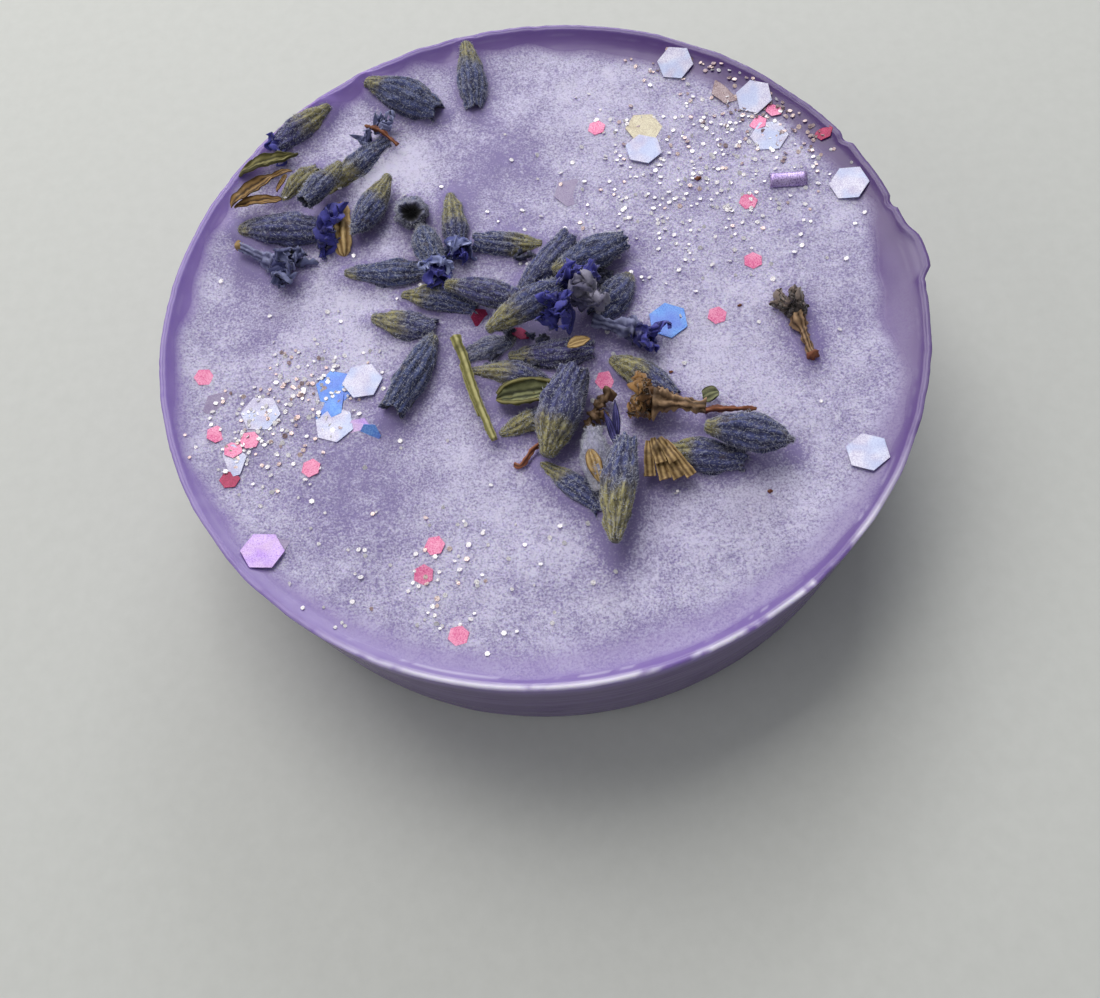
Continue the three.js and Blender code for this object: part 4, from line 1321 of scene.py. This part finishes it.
def crumbs():
    """Loose scraps between the flowers: husk, petals and dust."""
    up = (0, 0, 1)
    # Each crumb: x, y, radius and height above the wax, in millimetres.
    brown = [(4.2, -8.3, 0.5, 0.9), (3.7, -8.9, 0.4, 0.9), (3.2, -9.6, 0.45, 0.7)]
    brown += [(2.6, -10.3, 0.4, 0.6), (3.9, -9.7, 0.35, 0.6)]
    lump_piece(
        "brown_crumbs",
        BROWN,
        "brown_husk",
        [
            dict(centre=on_wax(x, y, lift), radius=r * MM, axis=up, seed=150 + i, rough=0.35)
            for i, (x, y, r, lift) in enumerate(brown)
        ],
    )
    scrap = on_wax(2.8, -4.1, 1.9)
    away = np.array([0.9, 0.1, 0.15]) * MM
    given = dict(width=1.0 * MM, thickness=0.08 * MM, arch=0.1 * MM, curl=0.3, rows=16, columns=9, tip=0.7)
    scraps = [dict(start=scrap - away, end=scrap + away, seed=160, **given)]
    scrap = on_wax(2.5, -14.4, 1.9)
    given["width"] = 1.1 * MM
    down = np.array([0.2, -1.25, -0.3]) * MM
    scraps.append(dict(start=scrap - down, end=scrap + down, seed=161, **given))
    blade_piece("golden_scraps", GOLDEN, "brown_husk", scraps)
    strips = []
    for x, y, turn in ((4.6, -10.9, 0.1), (4.1, -11.7, -0.2)):
        foot = on_wax(x, y, 1.9)
        reach = np.array([turn, 1.0, 0.2]) * 1.5 * MM
        strip = dict(width=0.55 * MM, thickness=0.07 * MM, arch=0.2 * MM, curl=0.9, seed=165)
        strip.update(rows=18, columns=9)
        strips.append(dict(start=foot - reach, end=foot + reach, **strip))
    blade_piece("petal_strips", STRIP, "lavender_corolla", strips)
    specks = [(14.9, 11.2, 0.17), (14.8, -17.5, 0.13), (9.5, -6.5, 0.1), (15.8, -1.6, 0.1)]
    lump_piece(
        "dark_specks",
        RUST,
        "brown_husk",
        [
            dict(centre=on_wax(x, y, 0.05), radius=r * MM, axis=(1, 0.2, 0), seed=170 + i, stretch=1.6)
            for i, (x, y, r) in enumerate(specks)
        ],
    )
    chip = on_wax(12, -9.4, 0.5)
    leaf = dict(width=1.2 * MM, thickness=0.1 * MM, arch=0.1 * MM, curl=0.2, seed=180, tip=0.3)
    leaf.update(rows=12, columns=9)
    leaf.update(start=chip - np.array([0.6, 0, 0]) * MM, end=chip + np.array([0.6, 0.2, 0.3]) * MM)
    blade_piece("leaf_chip", LEAF, "green_stem", [leaf])


crumbs()


def level_with_wax(centre, normal):
    """Brings a CAD flake's place down to the finished wax, unless it lies on another piece."""
    surface = wax_top(centre[:1], centre[1:2])[0]
    over = centre[2] - surface
    if over < 0.35 * MM:
        lowered = np.array([centre[0], centre[1], surface + 0.05 * MM])
        return lowered, wax_lean(centre[0] / MM, centre[1] / MM)
    return centre - np.array([0, 0, 0.1 * MM]), normal


def cad_flakes():
    slots = {part["node"]: part["material_slot"] for part in frame["record"]["subparts"]}
    for number in range(1, 14):
        node = f"hex_flake_{number:02d}"
        centre, corner, normal, radius = plate_of(node)
        centre, normal = level_with_wax(centre, normal)
        corner = unit(corner - normal * (corner @ normal))
        name = f"foil_hexagon_{number:02d}"
        flake_piece(name, slots[node], centre, corner, normal, radius, (node,))


CURL_TURN = math.radians(12)


def curled_flake():
    """A flake that has curled into a half tube with the film's violet glint along it."""
    points = cad_points("curled_flake")
    middle, axes = principal_axes(points)
    axis = axes[0] * np.sign(axes[0][0])
    axis = unit(axis + math.tan(CURL_TURN) * np.cross(axis, [0, 0, 1]))
    level, upright = across(axis)
    length, radius = 3.0 * MM, 0.72 * MM
    foot = middle.copy()
    foot[2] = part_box("curled_flake")[0].z - 0.1 * MM
    grid = np.zeros((12, 17, 3))
    for i, share in enumerate(np.linspace(-0.5, 0.5, 12)):
        for j, angle in enumerate(np.radians(np.linspace(15, 165, 17))):
            out = math.cos(angle) * level + math.sin(angle) * upright
            grid[i, j] = foot + axis * length * share + radius * out
    vertices, faces = thick_sheet(grid, 0.05 * MM)
    make_piece("foil_curl", vertices, faces, FOILS["curl_foil"], replaces=("curled_flake",))


cad_flakes()
curled_flake()

# Flakes that the frame doesn't hold: x, y and corner radius in millimetres, foil, and spin and tip
# in degrees. The small ones come first.
SMALL = 0.79
LOOSE_FLAKES = [
    (7.4, 18.2, SMALL, "pink_foil", 10, 4),
    (18.5, 8.2, SMALL, "pink_foil", 0, 3),
    (17.7, 2.4, SMALL, "pink_foil", 20, 3),
    (13.9, -2.2, SMALL, "pink_foil", 10, 3),
    (-26.8, -0.9, SMALL, "pink_foil", 0, 5),
    (-25.8, -6.2, SMALL, "pink_foil", 25, 12),
    (-23.2, -7.1, SMALL, "pink_foil", 5, 5),
    (-24.5, -7.7, SMALL, "pink_foil", 30, 8),
    (-24.8, -10.2, SMALL, "red_foil", 0, 4),
    (-18.6, -10.2, SMALL, "pink_foil", 15, 5),
    (-9.8, -17.9, SMALL, "pink_foil", 0, 4),
    (-10.8, -20.0, SMALL, "pink_foil", 20, 6),
    (-8.7, -24.9, SMALL, "pink_foil", 10, 4),
    (4.4, -6.5, SMALL, "pink_foil", 0, 6),
    (-4.5, 0.7, SMALL, "red_foil", 0, 20),
    (-1.5, -1.4, SMALL, "red_foil", 15, 15),
    (22.5, 16.9, SMALL, "pink_foil", 0, 10),
    (25.8, 13.4, SMALL, "red_foil", 0, 10),
    (20.9, 16.0, SMALL, "pink_foil", 10, 8),
    (-17.3, -4.8, 1.6, "blue_foil", 20, 6),
    (-25.0, -8.7, 1.55, "white_foil", 10, 5),
    (-14.0, -8.1, 0.95, "blue_foil", 40, 35),
    (-14.8, -7.5, 1.0, "violet_foil", 0, 6),
    (-25.6, -3.7, 1.3, "veiled_foil", 12, 10),
    (4.3, 11.8, 1.5, "veiled_foil", 8, 3),
    (19.1, 19.9, 1.5, "brown_foil", 8, 12),
    (-21.6, -15.5, 1.5, "veiled_foil", 0, 3),
]
for index, (x, y, radius, foil, spin, tip) in enumerate(LOOSE_FLAKES):
    small = "small" if radius == SMALL else "buried"
    sunk = 0.05 if radius == SMALL else -0.02
    laid_flake(f"{small}_flake_{index + 1:02d}", foil, x, y, radius, spin, sunk, tip, 37 * index)

# Where glitter was thrown: x, y, spread in x and y, all in millimetres, and how many.
UPPER_RIGHT = [(16, 11, 5, 4, 120), (20, 15, 4, 4, 90), (13, 6, 5, 3, 80), (10, 17, 5, 3, 40)]
BY_FAR_RIM = [(21, 18.5, 2.6, 2.6, 45), (24.5, 14.5, 2, 2.4, 30), (15, 24, 2, 1.2, 14)]
LEFT = [(-20, -4.5, 3.2, 1.8, 80), (-23, -8, 2.2, 2, 50), (-17, -2, 2, 2, 30)]
LOWER = [(-10, -19, 4, 2.6, 40), (-6, -23, 4, 2, 16), (-18, -18, 5, 4, 14)]
THIN = [(0, 0, 13, 13, 90)]
scatter("fine_glitter_silver", "silver_foil", UPPER_RIGHT + LEFT + LOWER + THIN, 201)
ROSE_SPOTS = [(16, 11, 6, 5, 40), (-20, -5, 3, 2.5, 60), (-9, -20, 4, 2.5, 12)]
BROWN_SPOTS = [(-19, -4, 3, 2, 16), (11, 16, 1.5, 1.5, 10), (21, 17, 2, 2, 24)]
scatter("fine_glitter_rose", "rose_foil", BY_FAR_RIM + ROSE_SPOTS, 202)
scatter("fine_glitter_brown", "brown_foil", BY_FAR_RIM + BROWN_SPOTS, 203)


# ---------------------------------------------------------------- floor, light and camera
def studio():
    scene = bpy.context.scene
    bpy.ops.mesh.primitive_grid_add(x_subdivisions=8, y_subdivisions=8, size=4, location=(0, 0, 0))
    floor = bpy.context.object
    floor.name = "floor"
    floor.data.materials.append(floor_look())
    world = bpy.data.worlds.new("soft_studio")
    world.use_nodes = True
    world.node_tree.nodes["Background"].inputs["Color"].default_value = (0.93, 0.96, 1.0, 1)
    world.node_tree.nodes["Background"].inputs["Strength"].default_value = 0.28
    scene.world = world
    for name, place, size, power, color in (
        ("overhead_softbox", (-0.10, 0.24, 0.40), 0.34, 1.5, (1.0, 0.98, 0.96)),
        ("back_window", (0.12, 0.55, 0.28), 0.25, 1.2, (0.95, 0.97, 1.0)),
        ("side_fill", (-0.5, -0.1, 0.3), 0.3, 0.4, (1.0, 0.98, 0.95)),
    ):
        light = bpy.data.lights.new(name, "AREA")
        light.size = size
        light.energy = power
        light.color = color
        lamp = bpy.data.objects.new(name, light)
        lamp.location = place
        lamp.rotation_euler = (Vector((0, 0, HEIGHT)) - Vector(place)).to_track_quat("-Z", "Y").to_euler()
        scene.collection.objects.link(lamp)
    scene.view_settings.view_transform = "Standard"


CAMERA_ELEVATION = math.radians(56.43)
CAMERA_DISTANCE = 2.781 * RIM_RADIUS  # from the middle of the rim
CAMERA_ROLL = math.radians(-8.40)
CAMERA_YAW = math.radians(-0.72)
CAMERA_PITCH = math.radians(-10.19)
CAMERA_LENS = 34.36


def add_camera():
    """Looks at the middle of the rim from the front, then rolls, yaws and pitches a little."""
    back = Vector((0, -math.cos(CAMERA_ELEVATION), math.sin(CAMERA_ELEVATION)))
    forward, right = -back, Vector((1, 0, 0))
    up = right.cross(forward)
    turned_right = math.cos(CAMERA_ROLL) * right + math.sin(CAMERA_ROLL) * up
    turned_up = -math.sin(CAMERA_ROLL) * right + math.cos(CAMERA_ROLL) * up
    yaw = Matrix.Rotation(CAMERA_YAW, 3, turned_up)
    forward, right = yaw @ forward, yaw @ turned_right
    pitch = Matrix.Rotation(CAMERA_PITCH, 3, right)
    forward, up = pitch @ forward, pitch @ turned_up
    data = bpy.data.cameras.new("camera")
    data.lens = CAMERA_LENS
    data.sensor_width = 36
    data.clip_start = 0.005
    camera = bpy.data.objects.new("camera", data)
    axes = Matrix((right, up, -forward)).transposed()
    camera.matrix_world = Matrix.Translation(Vector((0, 0, HEIGHT)) + back * CAMERA_DISTANCE) @ axes.to_4x4()
    bpy.context.scene.collection.objects.link(camera)
    bpy.context.scene.camera = camera


studio()
add_camera()
